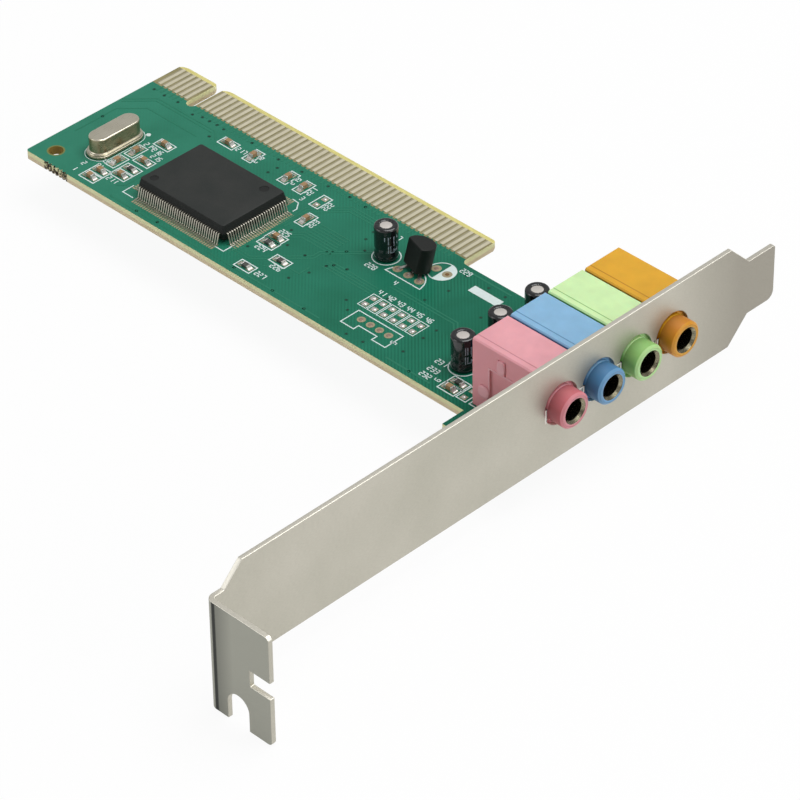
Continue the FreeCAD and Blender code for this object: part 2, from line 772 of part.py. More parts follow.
def chip_part(place, height, ends):
    """The body of a small chip part, or its two metal ends."""
    x, y, along = place
    half = chip_part_length / 2
    wide = chip_part_width / 2
    if ends:
        spans = ((-half, -half + end_cap_length), (half - end_cap_length, half))
    else:
        spans = ((-half + end_cap_length, half - end_cap_length),)
    solids = []
    for low, high in spans:
        if along == "x":
            solids.append(box((x + low, x + high), (y - wide, y + wide), (0, height)))
        else:
            solids.append(box((x - wide, x + wide), (y + low, y + high), (0, height)))
    return solids


def chip_parts(places, height, ends):
    return Part.makeCompound([solid for place in places for solid in chip_part(place, height, ends)])


save(make_board(), "circuit_board")
save(make_contacts(1), "edge_contacts_component_side")
save(make_contacts(-1), "edge_contacts_solder_side")
save(make_bracket(), "slot_bracket")
for index, colour in enumerate(socket_names):
    centre_y = socket_y(index)
    save(make_socket_housing(centre_y), colour + "_socket_housing")
    save(make_socket_cover(centre_y), colour + "_socket_cover")
    save(make_socket_liner(centre_y), colour + "_socket_liner")
    save(make_tip_spring(centre_y), colour + "_socket_tip_spring")
    save(make_ring_spring(centre_y), colour + "_socket_ring_spring")
save(make_chip_body(), "audio_chip_case")
save(make_chip_leads(), "audio_chip_leads")
save(make_crystal_base(), "crystal_base")
save(make_crystal_can(), "crystal_can")
save(make_crystal_leads(), "crystal_leads")
for index, (x, y) in enumerate(capacitor_places()):
    prefix = "filter_capacitor" if index == 0 else "output_capacitor_" + str(index)
    save(make_capacitor_can(x, y), prefix + "_can")
    save(make_capacitor_sleeve(x, y), prefix + "_sleeve")
    save(make_capacitor_leads(x, y), prefix + "_leads")
save(make_regulator_body(), "regulator_case")
save(make_regulator_leads(), "regulator_leads")
ceramics = ceramic_places + [socket_side_ceramic]
save(chip_parts(ceramics, ceramic_height, False), "ceramic_chip_bodies")
save(chip_parts(ceramics, ceramic_height, True), "ceramic_chip_ends")
resistors = resistor_places + [socket_side_resistor]
save(chip_parts(resistors, resistor_height, False), "resistor_chip_bodies")
save(chip_parts(resistors, resistor_height, True), "resistor_chip_ends")
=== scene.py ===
import json
import math
import random

import bmesh
import bpy
from mathutils import Matrix, Vector


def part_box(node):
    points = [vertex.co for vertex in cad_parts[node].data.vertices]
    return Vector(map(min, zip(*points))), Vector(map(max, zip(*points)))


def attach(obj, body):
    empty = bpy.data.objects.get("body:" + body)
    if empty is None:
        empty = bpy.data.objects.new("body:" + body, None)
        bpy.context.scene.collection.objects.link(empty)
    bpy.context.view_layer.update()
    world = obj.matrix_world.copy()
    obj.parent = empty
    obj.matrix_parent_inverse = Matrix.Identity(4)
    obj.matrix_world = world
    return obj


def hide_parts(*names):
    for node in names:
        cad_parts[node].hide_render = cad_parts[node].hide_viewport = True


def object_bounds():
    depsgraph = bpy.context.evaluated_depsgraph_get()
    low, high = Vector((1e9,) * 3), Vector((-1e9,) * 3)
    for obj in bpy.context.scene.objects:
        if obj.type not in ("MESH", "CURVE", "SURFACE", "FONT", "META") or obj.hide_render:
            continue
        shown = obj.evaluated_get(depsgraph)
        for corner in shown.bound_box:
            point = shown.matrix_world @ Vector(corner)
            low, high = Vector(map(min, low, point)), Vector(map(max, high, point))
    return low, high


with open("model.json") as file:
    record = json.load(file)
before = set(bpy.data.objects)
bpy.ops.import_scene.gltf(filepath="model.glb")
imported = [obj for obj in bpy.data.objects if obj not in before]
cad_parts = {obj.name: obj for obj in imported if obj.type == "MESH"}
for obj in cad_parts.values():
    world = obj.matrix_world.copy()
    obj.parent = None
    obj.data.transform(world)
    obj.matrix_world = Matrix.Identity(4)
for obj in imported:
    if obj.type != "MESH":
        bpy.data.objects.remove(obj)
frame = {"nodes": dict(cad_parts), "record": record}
cad_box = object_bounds()
random.seed(7)

# Lengths and places are in millimetres of the card's own axes, which start at the plate's
# outer face, the tab's outer face and the board's component face.
MM = 0.001
TAB_REACH = 12.0
BRACKET_LOW, BRACKET_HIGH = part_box("slot_bracket")
BOARD_LOW, BOARD_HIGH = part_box("circuit_board")
ORIGIN = Vector((BRACKET_HIGH.x - TAB_REACH * MM, BRACKET_LOW.y, BOARD_HIGH.z))
SOCKETS = ("pink", "blue", "lime", "orange")
CAPACITORS = ("filter_capacitor", "output_capacitor_1", "output_capacitor_2", "output_capacitor_3")


def at(x, y, z):
    """A place on the card's axes, as a point of the frame in metres."""
    return ORIGIN + Vector((x, y, z)) * MM


def card(point):
    """A point of the frame on the card's axes."""
    return (Vector(point) - ORIGIN) / MM


def card_box(node):
    low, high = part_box(node)
    return card(low), card(high)


def centre_of(node):
    return sum(card_box(node), Vector()) / 2


def cos(degrees):
    return math.cos(math.radians(degrees))


def sin(degrees):
    return math.sin(math.radians(degrees))


def linear(rgb, amount=0.0):
    """A colour given as 0 to 255 on a screen, in linear values made lighter by an amount."""
    values = []
    for level in rgb:
        share = level / 255
        value = share / 12.92 if share <= 0.04045 else ((share + 0.055) / 1.055) ** 2.4
        values.append(value * (1 + amount))
    return (*values, 1.0)


def add_object(name, data):
    made = bpy.data.objects.new(name, data)
    bpy.context.scene.collection.objects.link(made)
    return made


# Materials
NOISE_ROUGHNESS = 0.55


class Nodes:
    """Short calls for the nodes of one tree."""

    def __init__(self, tree):
        self.tree = tree

    def set(self, socket, value):
        """Links a node's output, or writes a plain value."""
        if isinstance(value, bpy.types.NodeSocket):
            self.tree.links.new(value, socket)
        else:
            socket.default_value = value

    def make(self, kind, inputs, output=0, **settings):
        """A new node with its inputs linked or written; gives back one of its outputs."""
        made = self.tree.nodes.new(kind)
        for key, value in settings.items():
            setattr(made, key, value)
        for key, value in inputs.items():
            self.set(made.inputs[key], value)
        return made.outputs[output]

    def math(self, operation, a, b=0.0, c=0.0):
        return self.make("ShaderNodeMath", {0: a, 1: b, 2: c}, operation=operation)

    def times(self, a, b):
        return self.math("MULTIPLY", a, b)

    def seen(self, to_camera, to_gloss):
        """One value for rays from the camera, another for glossy rays and none for the rest."""
        rays = self.make("ShaderNodeLightPath", {}).node.outputs
        camera = self.times(rays["Is Camera Ray"], to_camera)
        return self.math("MAXIMUM", camera, self.times(rays["Is Glossy Ray"], to_gloss))


class Shade(Nodes):
    """One material with a Principled shader, drawn on the card's axes."""

    def __init__(self, name, metal=0.0, constants=()):
        self.material = bpy.data.materials.new(name)
        self.material.use_nodes = True
        super().__init__(self.material.node_tree)
        self.shader = self.tree.nodes["Principled BSDF"]
        self.shader.inputs["Metallic"].default_value = metal
        for socket, value in constants:
            self.shader.inputs[socket].default_value = value

    def place(self):
        """Where a point of the surface lies on the card's axes."""
        here = self.make("ShaderNodeTexCoord", {}, "Object")
        moved = self.make("ShaderNodeVectorMath", {0: here, 1: ORIGIN}, operation="SUBTRACT")
        return self.make("ShaderNodeVectorMath", {0: moved, "Scale": 1 / MM}, operation="SCALE")

    def axes(self):
        return self.make("ShaderNodeSeparateXYZ", {0: self.place()}).node.outputs

    def normal(self):
        facing = self.make("ShaderNodeNewGeometry", {}, "True Normal")
        return self.make("ShaderNodeSeparateXYZ", {0: facing}).node.outputs

    def noise(self, scale, detail, stretch=(1, 1, 1)):
        place = self.make("ShaderNodeMapping", {"Vector": self.place(), "Scale": stretch})
        values = {"Vector": place, "Scale": scale, "Detail": detail, "Roughness": NOISE_ROUGHNESS}
        return self.make("ShaderNodeTexNoise", values, "Fac")

    def ramp(self, value, low, high, start=0.0, end=1.0):
        """A value from low to high, spread over start to end."""
        values = {"Value": value, "From Min": low, "From Max": high, "To Min": start, "To Max": end}
        return self.make("ShaderNodeMapRange", values, clamp=True)

    def fall(self, value, low, high):
        return self.ramp(value, low, high, 1.0, 0.0)

    def mix(self, factor, a, b):
        return self.make("ShaderNodeMix", {0: factor, 6: a, 7: b}, 2, data_type="RGBA")

    def blend(self, factor, colours):
        """Two screen colours, by a factor."""
        return self.mix(factor, linear(colours[0]), linear(colours[1]))

    def finish(self, colour, rough, height, strength, depth):
        """Sets the colour, the roughness and the surface, and gives back the material."""
        bump = self.make("ShaderNodeBump", {"Height": height, "Strength": strength, "Distance": depth * MM})
        for socket, value in (("Base Color", colour), ("Roughness", rough), ("Normal", bump)):
            self.set(self.shader.inputs[socket], value)
        return self.material


# Plain finishes: colour, roughness, metal, spread of tone, coarse and fine scale per mm, bump, depth
MOTTLED = {
    "socket_metal": ((140, 134, 112), 0.24, 1.0, 0.55, 1.3, 6.0, 0.12),
    "spring_bronze": ((196, 176, 128), 0.3, 1.0, 0.12, 0.8, 6.0, 0.05),
    "tinned_metal": ((214, 212, 206), 0.3, 0.95, 0.1, 1.0, 5.0, 0.15),
    "capacitor_aluminium": ((214, 208, 202), 0.4, 0.4, 0.06, 0.8, 7.0, 0.1),
    "sleeve_black": ((22, 23, 26), 0.16, 0.0, 0.3, 0.5, 4.0, 0.12, 0.03),
    "regulator_black": ((15, 18, 16), 0.5, 0.0, 0.2, 0.5, 8.0, 0.25),
    "ceramic_brown": ((160, 128, 92), 0.45, 0.0, 0.14, 1.4, 9.0, 0.2),
    "resistor_black": ((74, 74, 70), 0.3, 0.0, 0.2, 1.4, 9.0, 0.2),
    "white_print": ((216, 230, 228), 0.55, 0.0, 0.07, 1.5, 9.0, 0.2),
    "mask_track": ((36, 118, 92), 0.36, 0.0, 0.08, 0.5, 5.0, 0.1),
    "mask_dark": ((8, 78, 58), 0.38, 0.0, 0.12, 1.0, 5.0, 0.1),
    "solder": ((206, 203, 198), 0.34, 0.6, 0.12, 1.5, 4.0, 0.3, 0.03),
    "pad_tin": ((184, 172, 146), 0.4, 0.4, 0.12, 1.0, 5.0, 0.1),
    "pad_tan": ((170, 158, 128), 0.42, 0.3, 0.12, 1.0, 5.0, 0.1),
    "lead_tin": ((190, 186, 172), 0.32, 0.9, 0.1, 1.0, 5.0, 0.1),
    "hole_brown_and_shade": ((120, 84, 38), 0.5, 0.0, 0.2, 1.0, 5.0, 0.1),
    "flux_pink": ((146, 124, 110), 0.4, 0.2, 0.2, 1.8, 6.0, 0.3),
    "hole_painted_shade": ((16, 22, 18), 0.6, 0.0, 0.2, 1.0, 5.0, 0.1),
    "stamp_pale": ((240, 237, 228), 0.4, 0.3, 0.06, 1.0, 5.0, 0.1),
    "stamp_painted_shadow": ((70, 68, 62), 0.5, 0.4, 0.2, 1.0, 5.0, 0.1),
    "sleeve_print": ((150, 160, 172), 0.5, 0.0, 0.1, 1.0, 5.0, 0.1),
}
GLOSS = {
    "sleeve_black": (("Coat Weight", 0.4), ("Coat Roughness", 0.08)),
    "regulator_black": (("Specular IOR Level", 0.3),),
    "mask_track": (("Specular IOR Level", 0.28),),
    "mask_dark": (("Specular IOR Level", 0.28),),
}
ROUGH_SPREAD = 0.07


def mottled(name, rgb, rough, metal, spread, scale, grain, bump, depth=0.02):
    """A material whose colour, roughness and surface vary a little."""
    made = Shade(name, metal, GLOSS.get(name, ()))
    broad = made.noise(scale, 3.0)
    fine = made.noise(grain, 5.0)
    factor = made.ramp(made.math("MULTIPLY_ADD", fine, 0.4, made.times(broad, 0.6)), 0.3, 0.7)
    colour = made.mix(factor, linear(rgb, -spread), linear(rgb, spread))
    gloss = made.ramp(fine, 0.25, 0.75, rough - ROUGH_SPREAD, rough + ROUGH_SPREAD)
    return made.finish(colour, gloss, fine, bump, depth)


MASK_END_Y = 93.95
TONGUE_END_X = -41.385
BEVEL_Y = 100.0
BOARD_SPAN_X = (-114.0, -15.0)
HATCH_PITCH = 0.52
HATCH_COPPER = 0.62
HATCH_SHARE = 0.3
FIXING_HOLE = (-110.86, 69.1)
FIXING_RING = (1.45, 1.57)
BITES_X = (-110.0, -104.6)
BITES_Y = (66.4, 67.2)
EDGE_TONES_Z = (-1.0, -0.65)
MASK_FAR = ((42, 120, 96), (51, 130, 106))
MASK_NEAR_SHADED = ((4, 92, 67), (12, 103, 79))
MASK_ON_COPPER = (42, 142, 112)
LAMINATE_TOP = ((134, 127, 90), (150, 142, 104))
LAMINATE_BEVEL = ((204, 194, 118), (222, 214, 142))
LAMINATE_UPPER = ((222, 220, 168), (236, 234, 190))
LAMINATE_LOWER = ((206, 188, 150), (226, 212, 182))
BURNT = (36, 28, 20)
RING_TOP = (120, 124, 70)
RING_WALL = (146, 122, 62)


def copper_hatch(made, x, y, along):
    """Diagonal copper under the mask, in patches that show more towards the bracket."""
    diagonal = made.times(made.math("ADD", x, y), 2 * math.pi / (HATCH_PITCH * math.sqrt(2)))
    stripe = made.ramp(made.math("SINE", diagonal), HATCH_COPPER - 1, 0.35)
    patch = made.ramp(made.noise(0.055, 1.0), 0.47, 0.51)
    hatch = made.times(stripe, made.ramp(patch, 0, 1, 0.35, 1.0))
    return made.times(hatch, made.ramp(along, 0.15, 0.7, 0.3, 1.0))


def laminate_edge(made, x, y, z, fibre):
    """The board's cut edge: pale glass over a warmer layer, burnt where it was broken off."""
    lower, upper = (made.blend(fibre, tones) for tones in (LAMINATE_LOWER, LAMINATE_UPPER))
    edge = made.mix(made.ramp(z, *EDGE_TONES_Z), lower, upper)
    burnt = made.times(made.ramp(x, BITES_X[0] - 0.2, BITES_X[0]), made.fall(x, BITES_X[1], BITES_X[1] + 0.2))
    burnt = made.times(made.times(burnt, made.fall(y, *BITES_Y)), made.ramp(made.noise(2.2, 2.0), 0.4, 0.55))
    return made.mix(burnt, edge, linear(BURNT))


def board_material():
    """Green solder mask over hatched copper, painted darker towards the bracket as painted shade, with bare
    laminate at the edges and on the connector.
    """
    made = Shade("solder_mask", 0.0, (("Specular IOR Level", 0.2),))
    x, y, z = made.axes()
    flat = made.ramp(made.math("ABSOLUTE", made.normal()[2]), 0.85, 0.93)
    along = made.ramp(x, *BOARD_SPAN_X)
    hatch = copper_hatch(made, x, y, along)
    broad = made.ramp(made.noise(0.12, 3.0), 0.3, 0.7)
    # The mask's tone runs from the far end to a darker tone near the bracket: painted shade.
    mask = made.mix(along, made.blend(broad, MASK_FAR), made.blend(broad, MASK_NEAR_SHADED))
    mask = made.mix(made.times(hatch, HATCH_SHARE), mask, linear(MASK_ON_COPPER))
    weave = made.ramp(made.noise(1.6, 2.0, (1, 0.2, 1)), 0.35, 0.65)
    fibre = made.ramp(made.noise(0.9, 4.0, (0.35, 0.35, 9)), 0.3, 0.7)
    edge = laminate_edge(made, x, y, z, fibre)
    before_end = made.fall(x, TONGUE_END_X, TONGUE_END_X + 0.1)
    on_tongue = made.times(made.ramp(y, MASK_END_Y - 0.05, MASK_END_Y), before_end)
    on_bevel = made.times(made.ramp(y, BEVEL_Y - 0.03, BEVEL_Y + 0.03), before_end)
    bare = made.mix(on_bevel, made.blend(weave, LAMINATE_TOP), made.blend(fibre, LAMINATE_BEVEL))
    across, up = (made.math("SUBTRACT", axis, middle) for axis, middle in zip((x, y), FIXING_HOLE))
    reach = made.math("SQRT", made.math("ADD", made.times(across, across), made.times(up, up)))
    ring = made.fall(reach, *FIXING_RING)
    top = made.mix(ring, made.mix(on_tongue, mask, bare), linear(RING_TOP))
    colour = made.mix(flat, made.mix(ring, edge, linear(RING_WALL)), top)
    rough = made.ramp(made.times(flat, made.fall(on_tongue, 0, 1)), 0, 1, 0.72, 0.38)
    relief = made.math("ADD", made.times(hatch, 0.5), made.times(made.noise(3.0, 3.0), 0.25))
    return made.finish(colour, rough, relief, 0.2, 0.03)


TONGUE_SHADE_Y = (96.0, 112.0)
BEND_REFLECTION_START = (0.3, 0.55)
BEND_REFLECTION_END = (1.0, 1.4)
TAB_SHADE_END = 4.4
STEEL = ((190, 187, 173), (203, 199, 186))
STEEL_GRAIN = (168, 164, 152)
STEEL_TONGUE_SHADE = (166, 161, 149)
STEEL_TAB_SHADE = (160, 160, 149)
STEEL_BEND_REFLECTION = (44, 46, 42)
STEEL_EDGE = (206, 202, 190)
STEEL_EDGE_HIGHLIGHT = (250, 246, 234)


def steel_material():
    """Satin plated sheet: fine grain along the plate, soft stains, painted shade towards the tongue's end and
    on the tab, a painted dark reflection along the tab's bend and painted highlights on the edges.
    """
    made = Shade("plated_sheet_steel", 0.85)
    nx, ny, nz = made.normal()
    x, y, z = made.axes()
    broad = made.ramp(made.noise(0.05, 4.0), 0.32, 0.68)
    grain = made.noise(7.0, 4.0, (1, 0.25, 1))
    grained = made.times(made.ramp(grain, 0.3, 0.7), 0.18)
    tone = made.mix(grained, made.blend(broad, STEEL), linear(STEEL_GRAIN))
    # The face turned to +X is painted darker towards the tongue's end, as painted shade.
    tongue = made.times(made.ramp(y, *TONGUE_SHADE_Y), made.ramp(nx, 0.7, 0.9))
    tone = made.mix(tongue, tone, linear(STEEL_TONGUE_SHADE))
    # Faces turned to -Y, the tab's, are painted darker as painted shade.
    tab = made.ramp(made.times(ny, -1.0), 0.7, 0.9)
    tone = made.mix(tab, tone, linear(STEEL_TAB_SHADE))
    # A dark band just past the bend, fading out along the tab, is a painted dark reflection of the bend.
    past_bend = made.ramp(x, *BEND_REFLECTION_START)
    bend_reflection = made.times(past_bend, made.fall(x, *BEND_REFLECTION_END))
    soft = made.times(past_bend, made.ramp(x, BEND_REFLECTION_END[0], TAB_SHADE_END, 0.45, 0.0))
    tone = made.mix(made.times(tab, made.math("MAXIMUM", bend_reflection, soft)), tone, linear(STEEL_BEND_REFLECTION))
    across = made.math("MAXIMUM", made.math("ABSOLUTE", nx), made.math("ABSOLUTE", ny))
    tone = made.mix(made.fall(across, 0.3, 0.6), tone, linear(STEEL_EDGE))
    # The edges between faces are painted bright as a painted highlight.
    edge_highlight = made.ramp(made.math("MINIMUM", across, nz), 0.3, 0.45)
    colour = made.mix(edge_highlight, tone, linear(STEEL_EDGE_HIGHLIGHT))
    return made.finish(colour, made.ramp(grain, 0.3, 0.7, 0.40, 0.52), grain, 0.08, 0.02)


# Each plastic from above, from the side and on its barrel: the side and barrel tones are shaded copies of the
# top's, as painted shade
PLASTICS = {
    "pink": ((226, 160, 168), (226, 148, 156), (192, 100, 108)),
    "blue": ((134, 180, 214), (84, 142, 190), (66, 120, 164)),
    "lime": ((206, 238, 176), (140, 205, 110), (138, 188, 106)),
    "orange": ((220, 164, 38), (204, 134, 26), (196, 124, 22)),
}
STAKE_FINISH = (0.42, 0.0, 0.05, 0.8, 9.0, 0.15)
BARREL_SHADE_X = (0.2, 2.3)
SEAM_SHADE = (0.05, 0.13)


def plastic_material(colour, top, side, barrel):
    """Moulded plastic with a fine spark-eroded texture; its sides and barrel are painted darker and its faces
    turned to +X lighter, as painted shade and light, with painted shade along the line where cover and body
    meet.
    """
    made = Shade(colour + "_plastic", 0.0, (("Subsurface Weight", 0.12), ("Subsurface Scale", 0.0006)))
    grain = made.noise(9.0, 4.0)
    broad = made.ramp(made.noise(0.35, 3.0), 0.3, 0.7)
    x, y, z = made.axes()
    nx, ny, nz = made.normal()
    # Faces turning away from up take the side tone: painted shade.
    upward = made.ramp(nz, 0.2, 0.9)
    tone = made.mix(upward, linear(side), made.mix(broad, linear(top, -0.06), linear(top, 0.05)))
    # A darker line along the seam of cover and body: painted shade.
    from_seam = made.math("SUBTRACT", y, card_box(colour + "_socket_cover")[1].y)
    seam = made.ramp(made.math("ABSOLUTE", from_seam), *SEAM_SHADE, 0.75, 0.0)
    tone = made.mix(made.times(seam, upward), tone, linear(side, -0.35))
    # Faces turned to +X are painted lighter, in the plate's shadow and on the barrel's front: painted light.
    mouth = made.ramp(nx, 0.3, 0.9)
    tone = made.mix(made.times(mouth, 0.6), tone, linear(top, 0.2))
    # The barrel is painted darker near the plate: painted shade.
    outside = made.mix(made.ramp(x, *BARREL_SHADE_X), linear(barrel, -0.32), linear(barrel))
    outside = made.mix(made.times(mouth, 0.5), outside, linear(top))
    tone = made.mix(made.ramp(x, 0.0, 0.1), tone, outside)
    return made.finish(tone, made.ramp(grain, 0.3, 0.7, 0.38, 0.5), grain, 0.12, 0.015)


CONTACT_PITCH = 1.27
CONTACT_WIDTH = 0.98
CONTACT_LIGHT = ((206, 199, 172), (216, 209, 184))
CONTACT_GREY = ((160, 153, 126), (172, 165, 138))
PALE_OFFSET = 0.12


def contact_material():
    """Worn plating: pale along the middle of each contact and greyer towards its edges."""
    made = Shade("contact_gold", 0.25)
    x, y, z = made.axes()
    middle = card_box("edge_contacts_component_side")[1].x - CONTACT_WIDTH / 2
    turn = made.times(made.math("SUBTRACT", x, middle + PALE_OFFSET), 2 * math.pi / CONTACT_PITCH)
    pale = made.ramp(made.math("COSINE", turn), -0.35, 0.35)
    wear = made.ramp(made.noise(2.0, 3.0, (1, 0.2, 1)), 0.3, 0.7)
    colour = made.mix(pale, made.blend(wear, CONTACT_GREY), made.blend(wear, CONTACT_LIGHT))
    return made.finish(colour, made.ramp(wear, 0, 1, 0.3, 0.42), wear, 0.08, 0.02)


CHIP_TOP = ((33, 37, 35), (41, 43, 41))
CHIP_SIDE_SHADE = (20, 22, 21)


def chip_material():
    """Matt moulded resin: a dusty top, with the sides and marks below it painted darker as painted shade."""
    made = Shade("chip_black", 0.0, (("Specular IOR Level", 0.35),))
    x, y, z = made.axes()
    top = card_box("audio_chip_case")[1].z
    grain = made.noise(8.0, 4.0)
    dust = made.ramp(made.noise(0.25, 4.0), 0.35, 0.65)
    colour = made.mix(made.ramp(z, top - 0.09, top - 0.03), linear(CHIP_SIDE_SHADE), made.blend(dust, CHIP_TOP))
    return made.finish(colour, made.ramp(grain, 0.3, 0.7, 0.55, 0.7), grain, 0.3, 0.03)


CAN_TOP_LIT = ((210, 204, 184), (224, 218, 200))
CAN_SIDE_SHADED = ((150, 142, 112), (168, 160, 130))


def crystal_material():
    """Drawn nickel-plated steel: satin, painted lighter on top and darker on the sides as painted light and
    shade, with faint drawing lines down the sides.
    """
    made = Shade("nickel_can", 0.9)
    nx, ny, nz = made.normal()
    brushed = made.noise(5.0, 3.0, (1, 0.12, 1))
    broad = made.ramp(made.noise(0.35, 2.0), 0.3, 0.7)
    side = made.blend(made.ramp(brushed, 0.3, 0.7), CAN_SIDE_SHADED)
    colour = made.mix(made.ramp(nz, 0.3, 0.7), side, made.blend(broad, CAN_TOP_LIT))
    return made.finish(colour, made.ramp(brushed, 0.3, 0.7, 0.26, 0.34), brushed, 0.03, 0.01)


def make_materials():
    """Every finish by name. Those named as in the record go on the CAD nodes too."""
    table = {name: mottled(name, *values) for name, values in MOTTLED.items()}
    table["green_laminate"] = board_material()
    table["bracket_steel"] = steel_material()
    table["crystal_steel"] = crystal_material()
    table["contact_gold"] = contact_material()
    table["chip_black"] = chip_material()
    for colour, tones in PLASTICS.items():
        table[colour + "_plastic"] = plastic_material(colour, *tones)
        # The stakes' heads and ribs take the top tone on every face, as painted light.
        table[colour + "_stake"] = mottled(colour + "_stake", tones[0], *STAKE_FINISH)
    return table


MATERIALS = make_materials()
NODE_SLOTS = {entry["node"]: entry["material_slot"] for entry in frame["record"]["subparts"]}
for node, slot in NODE_SLOTS.items():
    node_materials = frame["nodes"][node].data.materials
    node_materials.clear()
    node_materials.append(MATERIALS[slot])


# Mesh tools
SMOOTH_ANGLE = 35.0
BEVEL_ANGLE = 40.0
SAME_POINT = 1e-7
SHARPEST_MITRE = 0.35


def finish_piece(name, bm, finish, smooth_angle=SMOOTH_ANGLE, replaces=(), bevel=0.0, segments=2):
    """Turns a bmesh in frame metres into a named piece that rides on the card."""
    mesh = bpy.data.meshes.new(name)
    bmesh.ops.recalc_face_normals(bm, faces=bm.faces)
    bm.to_mesh(mesh)
    bm.free()
    piece = add_object(name, mesh)
    mesh.materials.append(MATERIALS[finish])
    for polygon in mesh.polygons:
        polygon.use_smooth = True
    mesh.set_sharp_from_angle(angle=math.radians(smooth_angle))
    if bevel:
        modifier = piece.modifiers.new("edge", "BEVEL")
        modifier.width = bevel * MM
        modifier.segments = segments
        modifier.limit_method = "ANGLE"
        modifier.angle_limit = math.radians(BEVEL_ANGLE)
        modifier.harden_normals = True
    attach(piece, "root")
    if replaces:
        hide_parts(*replaces)


def merged(node):
    """A bmesh of a CAD node, its triangles joined at their corners."""
    bm = bmesh.new()
    bm.from_mesh(frame["nodes"][node].data)
    bmesh.ops.remove_doubles(bm, verts=bm.verts, dist=SAME_POINT)
    return bm


def islands(node):
    """The box of each separate solid of a CAD node."""
    bm = merged(node)
    seen = set()
    boxes = []
    for vert in bm.verts:
        if vert in seen:
            continue
        group = []
        waiting = [vert]
        seen.add(vert)
        while waiting:
            here = waiting.pop()
            group.append(card(here.co))
            for edge in here.link_edges:
                other = edge.other_vert(here)
                if other not in seen:
                    seen.add(other)
                    waiting.append(other)
        boxes.append(tuple(Vector([pick(p[i] for p in group) for i in range(3)]) for pick in (min, max)))
    bm.free()
    return boxes


def oval(x, y, radius_x, radius_y, count):
    turns = [360 * i / count for i in range(count)]
    return [(x + radius_x * cos(turn), y + radius_y * sin(turn)) for turn in turns]


def circle(x, y, radius, count=24):
    return oval(x, y, radius, radius, count)


def arc(x, y, radius, start, end, steps):
    turns = [start + (end - start) * i / steps for i in range(steps + 1)]
    return [(x + radius * cos(turn), y + radius * sin(turn)) for turn in turns]


def rectangle(x0, x1, y0, y1):
    return [(x0, y0), (x1, y0), (x1, y1), (x0, y1)]


def rounded(x0, x1, y0, y1, radius, steps=4):
    """A rectangle's outline with round corners, or cut ones where steps is 1."""
    outline = []
    for i, (x, y) in enumerate(((x1 - radius, y1 - radius), (x0 + radius, y1 - radius),
                                (x0 + radius, y0 + radius), (x1 - radius, y0 + radius))):
        outline += arc(x, y, radius, 90 * i, 90 * i + 90, steps)
    return outline


def obround(x, y, length, width, steps=12):
    """An outline with half-round ends, long along Y."""
    radius = width / 2
    half = length / 2 - radius
    return arc(x, y + half, radius, 0, 180, steps) + arc(x, y - half, radius, 180, 360, steps)


def row(bm, points, z):
    """New vertices at one height."""
    return [bm.verts.new(at(x, y, z)) for x, y in points]


def skin(bm, rows, close_first=True, close_last=True):
    """Faces from each row of vertices to the next and over the ends; a row may be one point."""
    for here, there in zip(rows, rows[1:]):
        count = max(len(here), len(there))
        for i in range(count):
            j = (i + 1) % count
            corners = dict.fromkeys((here[i % len(here)], here[j % len(here)],
                                     there[j % len(there)], there[i % len(there)]))
            bm.faces.new(list(corners))
    if close_first:
        bm.faces.new(rows[0][::-1])
    if close_last:
        bm.faces.new(rows[-1])


def prism(bm, outline, high, low=0.0):
    """A solid from an outline in X and Y, between two heights."""
    skin(bm, [row(bm, outline, low), row(bm, outline, high)])


def annulus(bm, x, y, inner, outer, height, count=24):
    """A flat ring."""
    levels = ((inner, 0.0), (outer, 0.0), (outer, height), (inner, height))
    rings = [row(bm, circle(x, y, radius, count), z) for radius, z in levels]
    skin(bm, rings + rings[:1], False, False)


def mitred(points, closed=False):
    """Each point of a line, with the way that a line beside it, 1 away, is moved there."""
    last = len(points) - 1
    for i, point in enumerate(points):
        here = Vector(point)
        into = (here - Vector(points[i - 1])).normalized() if i or closed else None
        out = (Vector(points[(i + 1) % len(points)]) - here).normalized() if i < last or closed else None
        into = into or out
        out = out or into
        side = Vector((-into.y - out.y, into.x + out.x)).normalized()
        yield here, side / max(SHARPEST_MITRE, side.dot(Vector((-into.y, into.x))))


def ribbon(bm, points, width, height, closed=False):
    """A flat strip of even width along a line, mitred at its corners."""
    rows = []
    for here, side in mitred(points, closed):
        pair = [here + side * (width / 2), here - side * (width / 2)]
        rows.append(row(bm, pair, 0.0) + row(bm, pair[::-1], height))
    skin(bm, rows + rows[:1] if closed else rows, not closed, not closed)


def lathe(bm, profile, centre, axis, count=40):
    """A body turned from (radius, distance) points about an axis through the centre."""
    axis = Vector(axis)
    side = axis.orthogonal().normalized()
    other = axis.cross(side)
    rows = []
    for radius, distance in profile:
        base = Vector(centre) + axis * distance
        ring = circle(0, 0, radius, count if radius else 1)
        rows.append([bm.verts.new(at(*(base + side * u + other * v))) for u, v in ring])
    skin(bm, rows, False, False)


def over_edge(inset, top, radius, angles):
    """Levels over a rounded edge, as (inset, height)."""
    return [(inset + radius * (1 - cos(a)), top - radius * (1 - sin(a))) for a in angles]


# Camera
CAMERA_PLACE = Vector((361.166, -318.008, 415.084))
CAMERA_RIGHT = Vector((0.707830, 0.706302, -0.010681))
CAMERA_DOWN = Vector((0.424638, -0.437543, -0.792614))
FOCAL_PIXELS = 4493.2
PHOTO_PIXELS = 800
SENSOR = 36.0


